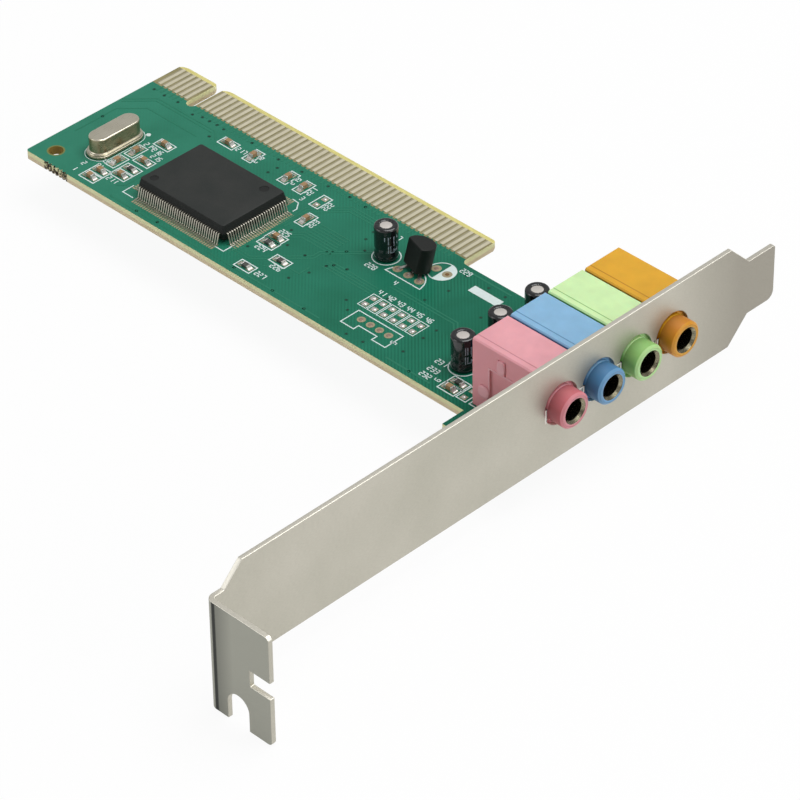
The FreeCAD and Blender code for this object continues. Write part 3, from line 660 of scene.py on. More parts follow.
def make_camera():
    data = bpy.data.cameras.new("camera")
    data.sensor_width = SENSOR
    data.sensor_fit = "HORIZONTAL"
    data.lens = FOCAL_PIXELS / PHOTO_PIXELS * SENSOR
    data.clip_start = 0.01
    data.clip_end = 10.0
    camera = add_object("camera", data)
    back = CAMERA_RIGHT.cross(CAMERA_DOWN * -1)
    turn = Matrix((CAMERA_RIGHT, CAMERA_DOWN * -1, back)).transposed()
    camera.matrix_world = Matrix.Translation(at(*CAMERA_PLACE)) @ turn.to_4x4()
    bpy.context.scene.camera = camera


# Floor and light, in metres
FLOOR_HALF = 1.6
FLOOR_COLOUR = (0.88, 0.88, 0.88, 1)
FLOOR_ROUGH = 0.8
FLOOR_GLOW = 0.93
FLOOR_SHEEN = 0.72
WHITE = (1, 1, 1, 1)
WORLD_LIGHT = 0.26
WORLD_SHEEN = 0.42
LAMPS = (
    ("top_softbox", (0.15, 0.25, 0.9), 0.7, 6.9),
    ("right_softbox", (0.9, 0.15, 0.35), 0.5, 2.2),
    ("left_fill", (-0.5, -0.9, 0.5), 0.6, 2.0),
)


def floor_material():
    """A pale floor that keeps shadows and looks nearly white to the camera and to metal."""
    made = Shade("pale_floor")
    made.shader.inputs["Base Color"].default_value = FLOOR_COLOUR
    made.shader.inputs["Roughness"].default_value = FLOOR_ROUGH
    glow = made.make("ShaderNodeEmission", {"Color": WHITE, "Strength": 1.0})
    weight = made.seen(FLOOR_GLOW, FLOOR_SHEEN)
    mixed = made.make("ShaderNodeMixShader", {0: weight, 1: made.shader.outputs[0], 2: glow})
    made.set(made.tree.nodes["Material Output"].inputs["Surface"], mixed)
    return made.material


def make_floor():
    mesh = bpy.data.meshes.new("floor")
    corners = rectangle(-FLOOR_HALF, FLOOR_HALF, -FLOOR_HALF, FLOOR_HALF)
    mesh.from_pydata([(x, y, cad_box[0][2]) for x, y in corners], [], [(0, 1, 2, 3)])
    mesh.materials.append(floor_material())
    add_object("floor", mesh)


def make_light():
    world = bpy.data.worlds.new("studio")
    bpy.context.scene.world = world
    world.use_nodes = True
    nodes = Nodes(world.node_tree)
    background = nodes.tree.nodes["Background"]
    background.inputs["Color"].default_value = WHITE
    nodes.set(background.inputs["Strength"], nodes.math("MAXIMUM", nodes.seen(1.0, WORLD_SHEEN), WORLD_LIGHT))
    for name, place, size, power in LAMPS:
        data = bpy.data.lights.new(name, "AREA")
        data.size = size
        data.energy = power
        light = add_object(name, data)
        light.location = place
        light.rotation_euler = (-Vector(place)).to_track_quat("-Z", "Y").to_euler()


# Places on the board
CHIP_CASE = card_box("audio_chip_case")
HEADER_ROW = [(-41.95 + 2.0 * i, 71.2) for i in range(4)]
PAIR_COLUMNS = [-44.45 + 2.07 * i for i in range(6)]
PAIR_ROWS = (74.5, 76.4)
PAIRS = [(x, y) for x in PAIR_COLUMNS for y in PAIR_ROWS]
EMPTY_CAPACITOR = (-41.85, 88.95)
EMPTY_CAPACITOR_PADS = ((-43.05, 88.95), (-40.7, 88.95))
EMPTY_CHIP_PARTS = [(-69.2, 88.95, "y", 0), (-16.7, 69.1, "y", 0)]
REGULATOR_PADS = [(-44.95 + 2.4 * i, 84.6) for i in (-1, 0, 1)]


def chip_part_places():
    """Centre, direction of length and height of every small chip part."""
    places = []
    for kind in ("ceramic", "resistor"):
        ends = [(low + high) / 2 for low, high in islands(kind + "_chip_ends")]
        for low, high in islands(kind + "_chip_bodies"):
            centre = (low + high) / 2
            offset = min((end - centre for end in ends), key=lambda way: way.length)
            along = "x" if abs(offset.x) > abs(offset.y) else "y"
            places.append((centre.x, centre.y, along, high.z))
    return sorted(places)


def turned_to(points, x, y, along):
    """Points drawn along X about the origin, turned to a part's direction and moved to it."""
    if along == "x":
        return [(x + u, y + v) for u, v in points]
    return [(x - v, y + u) for u, v in points]


CHIP_PARTS = chip_part_places()
CHIP_PLACES = CHIP_PARTS + EMPTY_CHIP_PARTS

# Plain numbers in seven strokes, on a grid one wide and two high
SEGMENTS = {
    "a": ((0, 2), (1, 2)), "b": ((1, 2), (1, 1)), "c": ((1, 1), (1, 0)), "d": ((0, 0), (1, 0)),
    "e": ((0, 1), (0, 0)), "f": ((0, 2), (0, 1)), "g": ((0, 1), (1, 1)),
}
DIGITS = ("abcdef", "bc", "abged", "abgcd", "fgbc", "afgcd", "afgedc", "abc", "abcdefg", "abcdfg")


def strokes(value):
    """Each stroke of a number: its digit's index and the stroke's two ends."""
    for i, character in enumerate(str(value)):
        for name in DIGITS[int(character)]:
            yield i, SEGMENTS[name]


# Print on the board
PRINT_WIDTH = 0.2
PRINT_HEIGHT = 0.03
DIGIT_SIZE = (0.46, 0.5)
DIGIT_STEP = 0.76
DIGIT_STROKE = 0.18
CHIP_PART_FRAME = (1.72, 0.98)
CAPACITOR_RING = 2.42
PAIR_FRAME = (0.88, 73.72, 77.3, 0.15)
CRYSTAL_FRAME = (0.5, 0.12)
FIRST_PIN_DOT = (-103.3, 82.7, 0.42)
LABEL_PATCH = (-35.45, -29.25, 88.2, 89.9)
HEADER_FRAME = ((-43.95, 72.65), (-43.95, 68.65), (-41.1, 68.65), (-41.1, 69.8), (-37.1, 69.8),
                (-37.1, 68.65), (-34.2, 68.65), (-34.2, 72.65))
REGULATOR_FRAME = [(-47.0, 86.0), (-48.2, 84.4), (-48.65, 83.1)] + arc(-45.0, 82.9, 3.95, 3, 62, 8)
# The line round the sockets' feet, X from the first housing's rear
SOCKET_FRAME = ((9.0, 67.5), (-0.3, 67.5), (-0.3, 92.6))
# Marks at the audio chip's corners: low or high side in X and in Y, and a line from that corner
CHIP_MARKS = (
    (0, 0, ((-2.45, 1.2), (-2.45, -1.25), (0, -1.25))),
    (1, 0, ((-1.0, -1.25), (1.25, -1.25), (1.25, 1.2))),
    (1, 1, ((1.25, 0), (1.25, 0.9), (0.2, 2.3), (-1.2, 2.4))),
    (0, 1, ((-2.45, -1.0), (-2.45, 2.4), (0, 2.4))),
)
# Value, place of the first digit's foot and turn in degrees
NUMBERS = (
    (1, -105.1, 67.3, 0), (2, -105.1, 69.4, 0), (211, -99.0, 69.35, 0), (212, -102.0, 71.1, 90),
    (214, -101.7, 80.1, 0), (215, -98.4, 78.5, 0), (216, -99.6, 79.9, 0), (217, -89.9, 89.6, 0),
    (218, -84.7, 89.3, 90), (219, -75.9, 89.2, 90), (221, -71.9, 88.9, 90), (3, -72.3, 87.1, 0),
    (222, -66.9, 87.8, 90), (223, -65.2, 82.9, 90), (224, -67.9, 73.0, 0), (225, -68.1, 78.5, 0),
    (226, -62.4, 71.0, 0), (227, -62.7, 67.9, 0), (228, -51.9, 81.7, 0), (4, -45.2, 81.2, 0),
    (229, -39.9, 90.9, 0), (5, -33.6, 70.2, 90), (231, -26.2, 71.4, 0), (232, -25.8, 67.5, 0),
    (233, -25.8, 69.3, 0), (6, -22.1, 68.2, 90), (7, -53.2, 90.2, 0),
) + tuple((41 + i, x - 0.7, 77.85, 0) for i, x in enumerate(PAIR_COLUMNS))


def number(bm, value, x, y, turn):
    """A plain number on the board."""
    for i, ends in strokes(value):
        line = []
        for u, v in ends:
            along = i * DIGIT_STEP + u * DIGIT_SIZE[0]
            up = v * DIGIT_SIZE[1]
            line.append((x + along * cos(turn) - up * sin(turn), y + along * sin(turn) + up * cos(turn)))
        ribbon(bm, line, DIGIT_STROKE, PRINT_HEIGHT)


def drawn(bm, points, closed=False, width=PRINT_WIDTH):
    ribbon(bm, points, width, PRINT_HEIGHT, closed)


def print_frames(bm):
    """The closed outlines round parts and empty places."""
    half, wide = CHIP_PART_FRAME
    for x, y, along, top in CHIP_PLACES:
        drawn(bm, turned_to(rectangle(-half, half, -wide, wide), x, y, along), True)
    centres = [centre_of(name + "_sleeve").xy for name in CAPACITORS]
    for x, y in centres + [EMPTY_CAPACITOR]:
        annulus(bm, x, y, CAPACITOR_RING - PRINT_WIDTH, CAPACITOR_RING, PRINT_HEIGHT, 48)
    gap, width = CRYSTAL_FRAME
    low, high = card_box("crystal_base")
    x, y, z = centre_of("crystal_base")
    drawn(bm, obround(x, y, high.y - low.y + gap, high.x - low.x + gap, 10), True, width)
    drawn(bm, HEADER_FRAME, True)
    half, low_y, high_y, width = PAIR_FRAME
    for x in PAIR_COLUMNS:
        drawn(bm, rectangle(x - half, x + half, low_y, high_y), True, width)


def make_print():
    bm = bmesh.new()
    print_frames(bm)
    # The right half of the empty capacitor's ring, the first pin's dot and the bare label patch
    half_disc = arc(*EMPTY_CAPACITOR, CAPACITOR_RING - PRINT_WIDTH / 2, -90, 90, 24)
    prism(bm, half_disc, PRINT_HEIGHT * 0.8)
    prism(bm, circle(*FIRST_PIN_DOT), PRINT_HEIGHT)
    prism(bm, rectangle(*LABEL_PATCH), PRINT_HEIGHT)
    for i, j, line in CHIP_MARKS:
        drawn(bm, [(CHIP_CASE[i].x + u, CHIP_CASE[j].y + v) for u, v in line])
    drawn(bm, REGULATOR_FRAME)
    rear = card_box("pink_socket_housing")[0].x
    drawn(bm, [(rear + u, y) for u, y in SOCKET_FRAME])
    for value, x, y, turn in NUMBERS:
        number(bm, value, x, y, turn)
    finish_piece("board_print", bm, "white_print")


# Tracks and vias under the mask
TRACK_HEIGHT = 0.02
TRACK_WIDTH = 0.26
# Tracks side by side: the first one's points, how many, their pitch and their width if not the usual
TRACKS = (
    (((-70.3, 70.2), (-66.2, 70.2), (-58.9, 77.4), (-58.9, 79.0), (-52.6, 85.2)), 2, 0.62),
    (((-63.2, 70.4), (-60.6, 72.9), (-57.6, 72.9), (-57.6, 75.2)), 1, 0.6),
    (((-57.8, 91.6), (-64.4, 91.6), (-69.8, 86.2), (-69.8, 80.2)), 3, 0.66),
    (((-57.8, 81.4), (-64.9, 81.4), (-68.9, 77.6)), 3, 0.66),
    (((-58.2, 84.7), (-65.4, 84.7)), 5, 0.68),
    (((-56.4, 76.9), (-45.9, 76.9)), 4, 0.62),
    (((-44.9, 80.4), (-30.9, 80.4), (-29.4, 78.9)), 2, 0.62),
    (((-72.4, 66.9), (-46.9, 66.9)), 1, 0.6, 0.32),
    (((-94.9, 66.8), (-94.9, 66.7), (-74.0, 66.7)), 1, 0.6, 0.32),
    (((-113.9, 86.3), (-109.8, 90.4), (-96.4, 90.4), (-94.9, 88.9)), 2, 0.66),
    (((-112.9, 75.1), (-112.9, 84.2), (-109.2, 87.9), (-97.3, 87.9)), 1, 0.66),
    (((-96.5, 69.2), (-95.3, 70.4), (-95.3, 74.6)), 1, 0.66),
    (((-39.6, 91.9), (-29.5, 91.9)), 1, 0.6, 0.36),
    (((-32.4, 67.0), (-22.9, 67.0)), 1, 0.6, 0.36),
)
STUB_COLUMNS = [x - 0.1 for x in range(-112, -43) if abs(x + 105) > 1]
STUB_Y = (92.6, 94.2)
STUB_WIDTH = 0.34
VIAS = (
    (-112.6, 92.5), (-110.0, 92.4), (-106.9, 92.6), (-112.8, 81.1), (-102.5, 91.8), (-100.7, 92.4),
    (-99.0, 92.4), (-97.3, 92.5), (-95.6, 92.4), (-95.8, 89.3), (-89.4, 92.9), (-82.8, 92.6),
    (-81.4, 88.9), (-81.2, 90.8), (-77.5, 92.8), (-71.5, 92.9), (-66.2, 67.0), (-57.4, 66.9),
    (-50.4, 67.0), (-58.0, 71.0), (-56.7, 74.2), (-60.5, 77.0), (-47.3, 73.2), (-45.3, 71.5),
    (-41.0, 67.0), (-37.7, 67.3), (-27.3, 66.9), (-31.5, 69.9), (-31.7, 74.5), (-31.6, 77.3),
    (-42.9, 77.9), (-53.0, 79.0), (-56.0, 77.3), (-55.3, 78.3), (-68.8, 72.4), (-64.5, 77.0),
    (-56.7, 86.8), (-56.5, 82.3), (-54.6, 84.5), (-63.0, 93.0), (-66.8, 93.2), (-38.2, 90.8),
    (-33.5, 90.9), (-30.0, 91.0), (-38.5, 81.7), (-37.5, 86.0), (-67.0, 80.3), (-57.2, 89.0),
    (-84.0, 66.9), (-88.7, 66.7), (-29.0, 84.5), (-24.6, 78.6),
)
VIA_RADIUS = 0.3
VIA_HOLE = 0.135


def make_tracks():
    bm = bmesh.new()
    for points, count, pitch, *width in TRACKS:
        for i in range(count):
            beside = [here + side * (i * pitch) for here, side in mitred(points)]
            ribbon(bm, beside, width[0] if width else TRACK_WIDTH, TRACK_HEIGHT)
    for x in STUB_COLUMNS:
        ribbon(bm, [(x, y) for y in STUB_Y], STUB_WIDTH, TRACK_HEIGHT)
    finish_piece("board_tracks", bm, "mask_track")


def make_vias():
    rims = bmesh.new()
    holes = bmesh.new()
    for x, y in VIAS:
        annulus(rims, x, y, VIA_HOLE, VIA_RADIUS, TRACK_HEIGHT, 14)
        # Each via's hole is a dark disc: painted shade of the hole.
        prism(holes, circle(x, y, VIA_HOLE, 10), TRACK_HEIGHT / 2)
    finish_piece("via_rims", rims, "mask_dark")
    finish_piece("via_holes", holes, "hole_painted_shade")


# Pads
PAD_HEIGHT = 0.035
CHIP_PAD = (0.5, 1.45, 0.525)
PAIR_PAD = (0.55, 0.5, 0.12)
PAD_BORE = 0.36
HEADER_PAD = 0.72
ROUND_PAD = 0.84


def make_pads():
    bm = bmesh.new()
    inner, outer, half = CHIP_PAD
    for x, y, along, top in CHIP_PLACES:
        for low, high in ((-outer, -inner), (inner, outer)):
            prism(bm, turned_to(rectangle(low, high, -half, half), x, y, along), PAD_HEIGHT)
    half_x, half_y, corner = PAIR_PAD
    for x, y in PAIRS:
        prism(bm, rounded(x - half_x, x + half_x, y - half_y, y + half_y, corner), PAD_HEIGHT)
    finish_piece("bare_pads", bm, "pad_tin")
    rings = bmesh.new()
    for x, y in HEADER_ROW:
        annulus(rings, x, y, PAD_BORE, HEADER_PAD, PAD_HEIGHT)
    for x, y in (*REGULATOR_PADS, *EMPTY_CAPACITOR_PADS):
        annulus(rings, x, y, PAD_BORE, ROUND_PAD, PAD_HEIGHT)
    finish_piece("round_pads", rings, "pad_tan")
    # One open hole in the empty capacitor's place and a hollow in the header's first pad, as brown discs: the
    # hole wall's brown and painted shade
    holes = bmesh.new()
    prism(holes, circle(*EMPTY_CAPACITOR_PADS[1], 0.37, 20), PAD_HEIGHT * 0.95)
    prism(holes, circle(*HEADER_ROW[0], 0.25, 16), 0.085, 0.05)
    finish_piece("empty_pad_holes", holes, "hole_brown_and_shade")


# Solder
FILLET_STEPS = 5
FILLET_START = 0.76
FILLET_LENGTH = 0.56
FILLET_CLIMB = 0.72
FILLET_HALF = 0.42
FILLET_FLARE = 0.06
DOME_LEVELS = 4
DOME_SIDES = 16
JOINT_SPREAD = 0.55
JOINT_DROP = 0.75
JOINT_PAD = 0.02
FOOT_HEIGHT = 0.5


def dome(bm, x, y, radius_x, radius_y, base, height):
    """A low blob of solder."""
    rows = []
    for i in range(DOME_LEVELS):
        turn = 90 * i / DOME_LEVELS
        outline = oval(x, y, radius_x * cos(turn), radius_y * cos(turn), DOME_SIDES)
        rows.append(row(bm, outline, base + height * sin(turn)))
    skin(bm, rows + [row(bm, [(x, y)], base + height)], close_last=False)


def fillet(bm, x, y, along, side, height):
    """The solder that climbs a chip part's end: a hollow slope from the end to the pad."""
    rows = []
    for i in range(FILLET_STEPS + 1):
        share = i / FILLET_STEPS
        reach = side * (FILLET_START + share * FILLET_LENGTH)
        half = FILLET_HALF + FILLET_FLARE * share
        line = turned_to([(reach, -half), (reach, half)], x, y, along)
        rows.append(row(bm, line, PAD_HEIGHT + height * FILLET_CLIMB * (1 - share) ** 2)
                    + row(bm, line[::-1], 0.0))
    skin(bm, rows)


def foot_of(node):
    """Middle and half sizes of a node's lowest end."""
    places = [card(vertex.co) for vertex in frame["nodes"][node].data.vertices]
    floor = min(place.z for place in places)
    foot = [place.xy for place in places if place.z < floor + FOOT_HEIGHT]
    low, high = (Vector([pick(place[i] for place in foot) for i in (0, 1)]) for pick in (min, max))
    return (*((low + high) / 2), *((high - low) / 2))


def joint_below(bm, x, y, half_x, half_y):
    """A hollow cone of solder under the board, with a flat pad at its foot."""
    under = card(BOARD_LOW).z
    rows = []
    for share in (0.0, 0.04, 0.25, 0.5, 0.75, 1.0):
        spread = JOINT_SPREAD * (1 - share) ** 2
        z = under - JOINT_DROP * share - (JOINT_PAD if share else 0.0)
        rows.append(row(bm, oval(x, y, half_x + spread, half_y + spread, 20), z))
    skin(bm, rows)


def make_solder():
    bm = bmesh.new()
    for x, y, along, top in CHIP_PARTS:
        for side in (-1, 1):
            fillet(bm, x, y, along, side, top)
    for x, y in PAIRS:
        middle = (x + random.uniform(-0.04, 0.04), y + random.uniform(-0.05, 0.05))
        dome(bm, *middle, *PAIR_PAD[:2], PAD_HEIGHT, random.uniform(0.2, 0.3))
    for x, y, along, top in EMPTY_CHIP_PARTS:
        for side in (-1, 1):
            dome(bm, x, y + side * 0.97, 0.42, 0.38, PAD_HEIGHT, 0.22)
    # Joints under the board, one round each lead that comes through
    for name in [name + "_leads" for name in CAPACITORS] + ["crystal_leads"]:
        for low, high in islands(name):
            joint_below(bm, *((low + high) / 2).xy, 0.32, 0.32)
    for x, y in REGULATOR_PADS:
        joint_below(bm, x, y, 0.34, 0.34)
    for colour in SOCKETS:
        for part in ("_liner", "_tip_spring", "_ring_spring"):
            x, y, half_x, half_y = foot_of(colour + "_socket" + part)
            joint_below(bm, x, y, half_x + 0.12, half_y + 0.12)
    finish_piece("solder_joints", bm, "solder")


def make_filled_pads():
    """Low solder in the header's, the empty capacitor's and the regulator's pads."""
    bm = bmesh.new()
    for x, y in HEADER_ROW + [EMPTY_CAPACITOR_PADS[0]]:
        dome(bm, x, y, 0.42, 0.42, PAD_HEIGHT * 0.6, 0.08)
    for x, y in REGULATOR_PADS:
        dome(bm, x, y, 0.5, 0.5, PAD_HEIGHT * 0.6, 0.16)
    finish_piece("filled_pads", bm, "flux_pink")


# Audio chip
LEAD_PITCH = 0.5
LEAD_WIDTH = 0.22
LEAD_THICKNESS = 0.13
LEAD_COUNTS = (38, 26)
LEAD_START = -0.2
LEAD_REST = 0.08
FOOT_LENGTH = 0.69
UPPER_BEND = (0.18, 0.16)
LOWER_BEND = (0.18, 0.2)
CHIP_PADS = (0.55, 2.2, -0.16, 0.16)
CHIP_PAD_HEIGHT = 0.012
CASE_DRAFT = 0.27
CASE_SOFT = 0.12
CASE_CORNER = 0.25
CASE_PARTING = (0.06, 0.03)
DIMPLES = ((-8.0, -5.2, 0.75), (6.9, 5.0, 0.85))
DIMPLE_DEPTH = 0.1
DIMPLE_SIDES = 40


def lead_places():
    """Where each lead leaves the chip, and its direction outward."""
    low, high = CHIP_CASE
    x, y, z = (low + high) / 2
    for start_x, start_y, dx, dy, count in (
            (x, low.y, 0, -1, LEAD_COUNTS[0]), (x, high.y, 0, 1, LEAD_COUNTS[0]),
            (low.x, y, -1, 0, LEAD_COUNTS[1]), (high.x, y, 1, 0, LEAD_COUNTS[1])):
        for i in range(count):
            offset = (i - (count - 1) / 2) * LEAD_PITCH
            yield start_x + abs(dy) * offset, start_y + abs(dx) * offset, dx, dy


def lead_line():
    """A lead's middle line: a short shoulder, two soft bends and a flat foot."""
    middle = (CHIP_CASE[0].z + CHIP_CASE[1].z) / 2
    reach = CHIP_CASE[0].x - card_box("audio_chip_leads")[0].x
    shoulder, radius = UPPER_BEND
    upper = [(shoulder + radius * sin(a), middle + radius * (cos(a) - 1)) for a in (0, 25, 50, 75)]
    length, height = LOWER_BEND
    heel = reach - FOOT_LENGTH
    lower = [(heel - length * cos(a), LEAD_REST + height * (1 - sin(a))) for a in (10, 40, 65, 90)]
    return [(LEAD_START, middle)] + upper + lower + [(reach - 0.02, LEAD_REST)]


def make_chip_leads():
    section = []
    line = lead_line()
    for i, (u, z) in enumerate(line):
        along = Vector(line[min(len(line) - 1, i + 1)]) - Vector(line[max(0, i - 1)])
        thick = Vector((-along.y, along.x)).normalized() * (LEAD_THICKNESS / 2)
        section.append([(u + thick.x * face, side * LEAD_WIDTH / 2, z + thick.y * face)
                        for side, face in ((-1, -1), (1, -1), (1, 1), (-1, 1))])
    leads = bmesh.new()
    pads = bmesh.new()
    for x, y, dx, dy in lead_places():
        skin(leads, [[leads.verts.new(at(x + dx * u - dy * w, y + dy * u + dx * w, z)) for u, w, z in ring]
                     for ring in section])
        prism(pads, [(x + dx * u - dy * w, y + dy * u + dx * w) for u, w in rectangle(*CHIP_PADS)],
              CHIP_PAD_HEIGHT)
    finish_piece("formed_chip_leads", leads, "lead_tin", replaces=("audio_chip_leads",))
    finish_piece("chip_pads", pads, "pad_tan")


def make_chip_case():
    """The moulded case: drafted sides, soft edges and shallow ejector marks in its top."""
    low, high = CHIP_CASE
    x, y, middle = (low + high) / 2
    half, groove = CASE_PARTING
    levels = [(CASE_DRAFT, low.z), (0.0, middle - half), (groove, middle), (0.0, middle + half)]
    levels += over_edge(CASE_DRAFT - CASE_SOFT * 0.3, high.z, CASE_SOFT, (0, 30, 60, 90))
    bm = bmesh.new()
    rows = [row(bm, rounded(low.x + inset, high.x - inset, low.y + inset, high.y - inset, CASE_CORNER, 1), z)
            for inset, z in levels]
    skin(bm, rows, close_last=False)
    # The top is a sheet with round holes, each closed by a shallow dish
    rim = rows[-1]
    edges = [bm.edges.get(ends) for ends in zip(rim, rim[1:] + rim[:1])]
    for dx, dy, radius in DIMPLES:
        ring = row(bm, circle(x + dx, y + dy, radius, DIMPLE_SIDES), high.z)
        dish = row(bm, circle(x + dx, y + dy, radius * 0.93, DIMPLE_SIDES), high.z - DIMPLE_DEPTH)
        skin(bm, [ring, dish], close_first=False)
        edges += [bm.edges.get(ends) for ends in zip(ring, ring[1:] + ring[:1])]
    bmesh.ops.triangle_fill(bm, edges=edges, use_beauty=True)
    finish_piece("moulded_chip_case", bm, "chip_black", replaces=("audio_chip_case",))


# Crystal
BASE_LIP = 0.12
CAN_WALL = 0.54
CAN_TURN = 0.26
FLARE = ((0.15, 0.0), (0.13, 0.16), (0.2, 0.26))
FLARE_FOOT = (0.28, 0.26, 0.25)


def obround_loft(name, node, levels):
    """Stacks outlines with half-round ends, each given as (inset, height), in a node's place."""
    low, high = card_box("crystal_base")
    x, y, z = (low + high) / 2
    bm = bmesh.new()
    skin(bm, [row(bm, obround(x, y, high.y - low.y - 2 * inset, high.x - low.x - 2 * inset), z)
              for inset, z in levels])
    finish_piece(name, bm, "crystal_steel", replaces=(node,))


def make_crystal():
    base = card_box("crystal_base")[1].z
    top = card_box("crystal_can")[1].z
    obround_loft("pressed_crystal_base", "crystal_base",
                 [(0.3, 0.02), (0.05, 0.1), (0.0, 0.18), (0.0, base - BASE_LIP), (0.05, base - 0.03),
                  (BASE_LIP, base)])
    inset, rise, radius = FLARE_FOOT
    flare = [(u, base + z) for u, z in FLARE]
    flare += [(inset + radius * sin(a), base + rise + radius * (1 - cos(a))) for a in (30, 60, 90)]
    obround_loft("drawn_crystal_can", "crystal_can",
                 flare + over_edge(CAN_WALL, top, CAN_TURN, (0, 20, 40, 60, 78, 90)))


# Electrolytic capacitors
GROOVE_RISE = 1.55
GROOVE_DEPTH = 0.14
GROOVE_HALF = 0.75
SHOULDER = 0.42
CURL_WIDTH = 0.98
FIRST_FOLDS = 13
FOLD_DEPTH = 0.035
FOLD_START = 1.1
FOLD_SPREAD = 0.9
FOLD_BELOW = 0.6
SLEEVE_SIDES = 72


def sleeve_profile(radius, low, top):
    """A shrunk sleeve from its foot over the groove and the shoulder to its curled edge."""
    inner = radius - CURL_WIDTH
    profile = [(radius - 0.2, low), (radius - 0.04, low + 0.1), (radius, low + 0.35)]
    profile += [(radius - GROOVE_DEPTH * cos(a) ** 2, low + GROOVE_RISE + GROOVE_HALF * a / 90)
                for a in range(-90, 91, 30)]
    profile += arc(radius - SHOULDER, top - SHOULDER, SHOULDER, 0, 90, 6)
    return profile + [(inner + 0.25, top - 0.02), (inner + 0.06, top - 0.07), (inner, top - 0.16),
                      (inner, top - 0.3)]


def wrinkled_lathe(bm, profile, centre, start, folds):
    """A turned skin whose curled edge is drawn into small folds inside the start radius."""
    rows = []
    top = max(z for radius, z in profile)
    for radius, z in profile:
        share = max(0.0, min(1.0, (start - radius) / FOLD_SPREAD)) if z > top - FOLD_BELOW else 0.0
        ring = []
        for i in range(SLEEVE_SIDES):
            turn = 360 * i / SLEEVE_SIDES
            wave = 0.6 * sin(folds * turn) + 0.4 * math.sin(math.radians((folds * 2 + 3) * turn) + folds)
            fold = FOLD_DEPTH * share * wave
            reach = radius + fold
            ring.append(bm.verts.new(at(centre.x + reach * cos(turn), centre.y + reach * sin(turn),
                                        z - abs(fold) * 1.2)))
        rows.append(ring)
    skin(bm, rows, close_last=False)


def make_capacitors():
    cans = bmesh.new()
    sleeves = bmesh.new()
    for index, name in enumerate(CAPACITORS):
        low, high = card_box(name + "_sleeve")
        centre = (low + high) / 2
        radius = (high.x - low.x) / 2
        inner = radius - CURL_WIDTH
        wrinkled_lathe(sleeves, sleeve_profile(radius, low.z, high.z), centre, inner + FOLD_START,
                       FIRST_FOLDS + index)
        top = [(0, high.z - 0.17), (inner - 0.12, high.z - 0.17), (inner + 0.02, high.z - 0.2),
               (inner + 0.03, high.z - 0.32), (0, high.z - 0.32)]
        core = radius - 0.22
        foot = [(0, low.z + 0.02), (core, low.z + 0.02), (core, low.z + 0.2), (0, low.z + 0.2)]
        for profile in (top, foot):
            lathe(cans, profile, (centre.x, centre.y, 0), (0, 0, 1))
    finish_piece("capacitor_tops", cans, "capacitor_aluminium",
                 replaces=[name + "_can" for name in CAPACITORS])
    finish_piece("curled_sleeves", sleeves, "sleeve_black", 50,
                 replaces=[name + "_sleeve" for name in CAPACITORS])


# CAD nodes softened: node, new piece, width of the rounded edge and its segments
SOFTENED = (
    ("slot_bracket", "rounded_slot_bracket", 0.2, 3),
    ("regulator_case", "moulded_regulator_case", 0.16, 3),
    ("ceramic_chip_bodies", "fired_ceramic_bodies", 0.05, 2),
    ("ceramic_chip_ends", "dipped_ceramic_ends", 0.07, 2),
    ("resistor_chip_bodies", "glazed_resistor_bodies", 0.04, 2),
    ("resistor_chip_ends", "dipped_resistor_ends", 0.06, 2),
)


def soften(node, name, bevel, segments):
    """The node's own form with its flat faces joined and its edges rounded."""
    bm = merged(node)
    bmesh.ops.dissolve_limit(bm, angle_limit=math.radians(1), verts=bm.verts, edges=bm.edges)
    finish_piece(name, bm, NODE_SLOTS[node], 30, (node,), bevel, segments)


def make_softened():
    for colour in SOCKETS:
        soften(colour + "_socket_housing", colour + "_moulded_housing", 0.11, 3)
        soften(colour + "_socket_cover", colour + "_moulded_cover", 0.09, 2)
    for entry in SOFTENED:
        soften(*entry)


# Heads of the stakes that hold the sockets' side covers, and the rib round the covers' recess, in the
# plastic's top tone on every face, which paints them lighter than the cover's side as painted light
HEAD_LEVELS = ((0.0, -0.02), (0.0, 0.128), (0.06, 0.228), (0.16, 0.285), (0.4, 0.291))
HEAD_SIDES = 28
HEAD_BLUNT = 0.82
UPPER_HEAD = (6.1, -2.6, 0.86, 1.32)
LOWER_HEAD = (2.5, 3.6, 1.18, 1.18)
RECESS_LENGTH = 10.2
RECESS_HEIGHT = 8.35
RIB_WIDTH = 0.3
RIB_PROUD = 0.06
SUNK = 0.02


def stake_head(bm, x, face, z, half_x, half_z):
    """A low rounded head with a slightly square outline, standing out of a face towards -Y."""
    rows = []
    for inset, proud in HEAD_LEVELS:
        ring = []
        for place in circle(0, 0, 1, HEAD_SIDES):
            u, v = (math.copysign(abs(value) ** HEAD_BLUNT, value) for value in place)
            ring.append(bm.verts.new(at(x + (half_x - inset) * u, face - proud, z + (half_z - inset) * v)))
        rows.append(ring)
    skin(bm, rows)


def make_stake_heads():
    for colour in SOCKETS:
        low, high = card_box(colour + "_socket_cover")
        bm = bmesh.new()
        dx, dz, half_x, half_z = UPPER_HEAD
        stake_head(bm, low.x + dx, low.y, high.z + dz, half_x, half_z)
        dx, z, half_x, half_z = LOWER_HEAD
        stake_head(bm, low.x + dx, low.y, z, half_x, half_z)
        rear = high.x - RECESS_LENGTH
        above = RECESS_HEIGHT + RIB_WIDTH
        rib = (low.y - RIB_PROUD, low.y + SUNK)
        prism(bm, rectangle(rear - RIB_WIDTH, rear, *rib), above, 0.1)
        prism(bm, rectangle(rear, high.x - 0.1, *rib), above, RECESS_HEIGHT)
        finish_piece(colour + "_stake_heads", bm, colour + "_stake", 40)


def mouth_of(colour):
    """Y and Z of a socket's axis, and the outer radius of its metal liner."""
    low, high = card_box(colour + "_socket_liner")
    radius = (high.y - low.y) / 2
    return low.y + radius, high.z - radius, radius


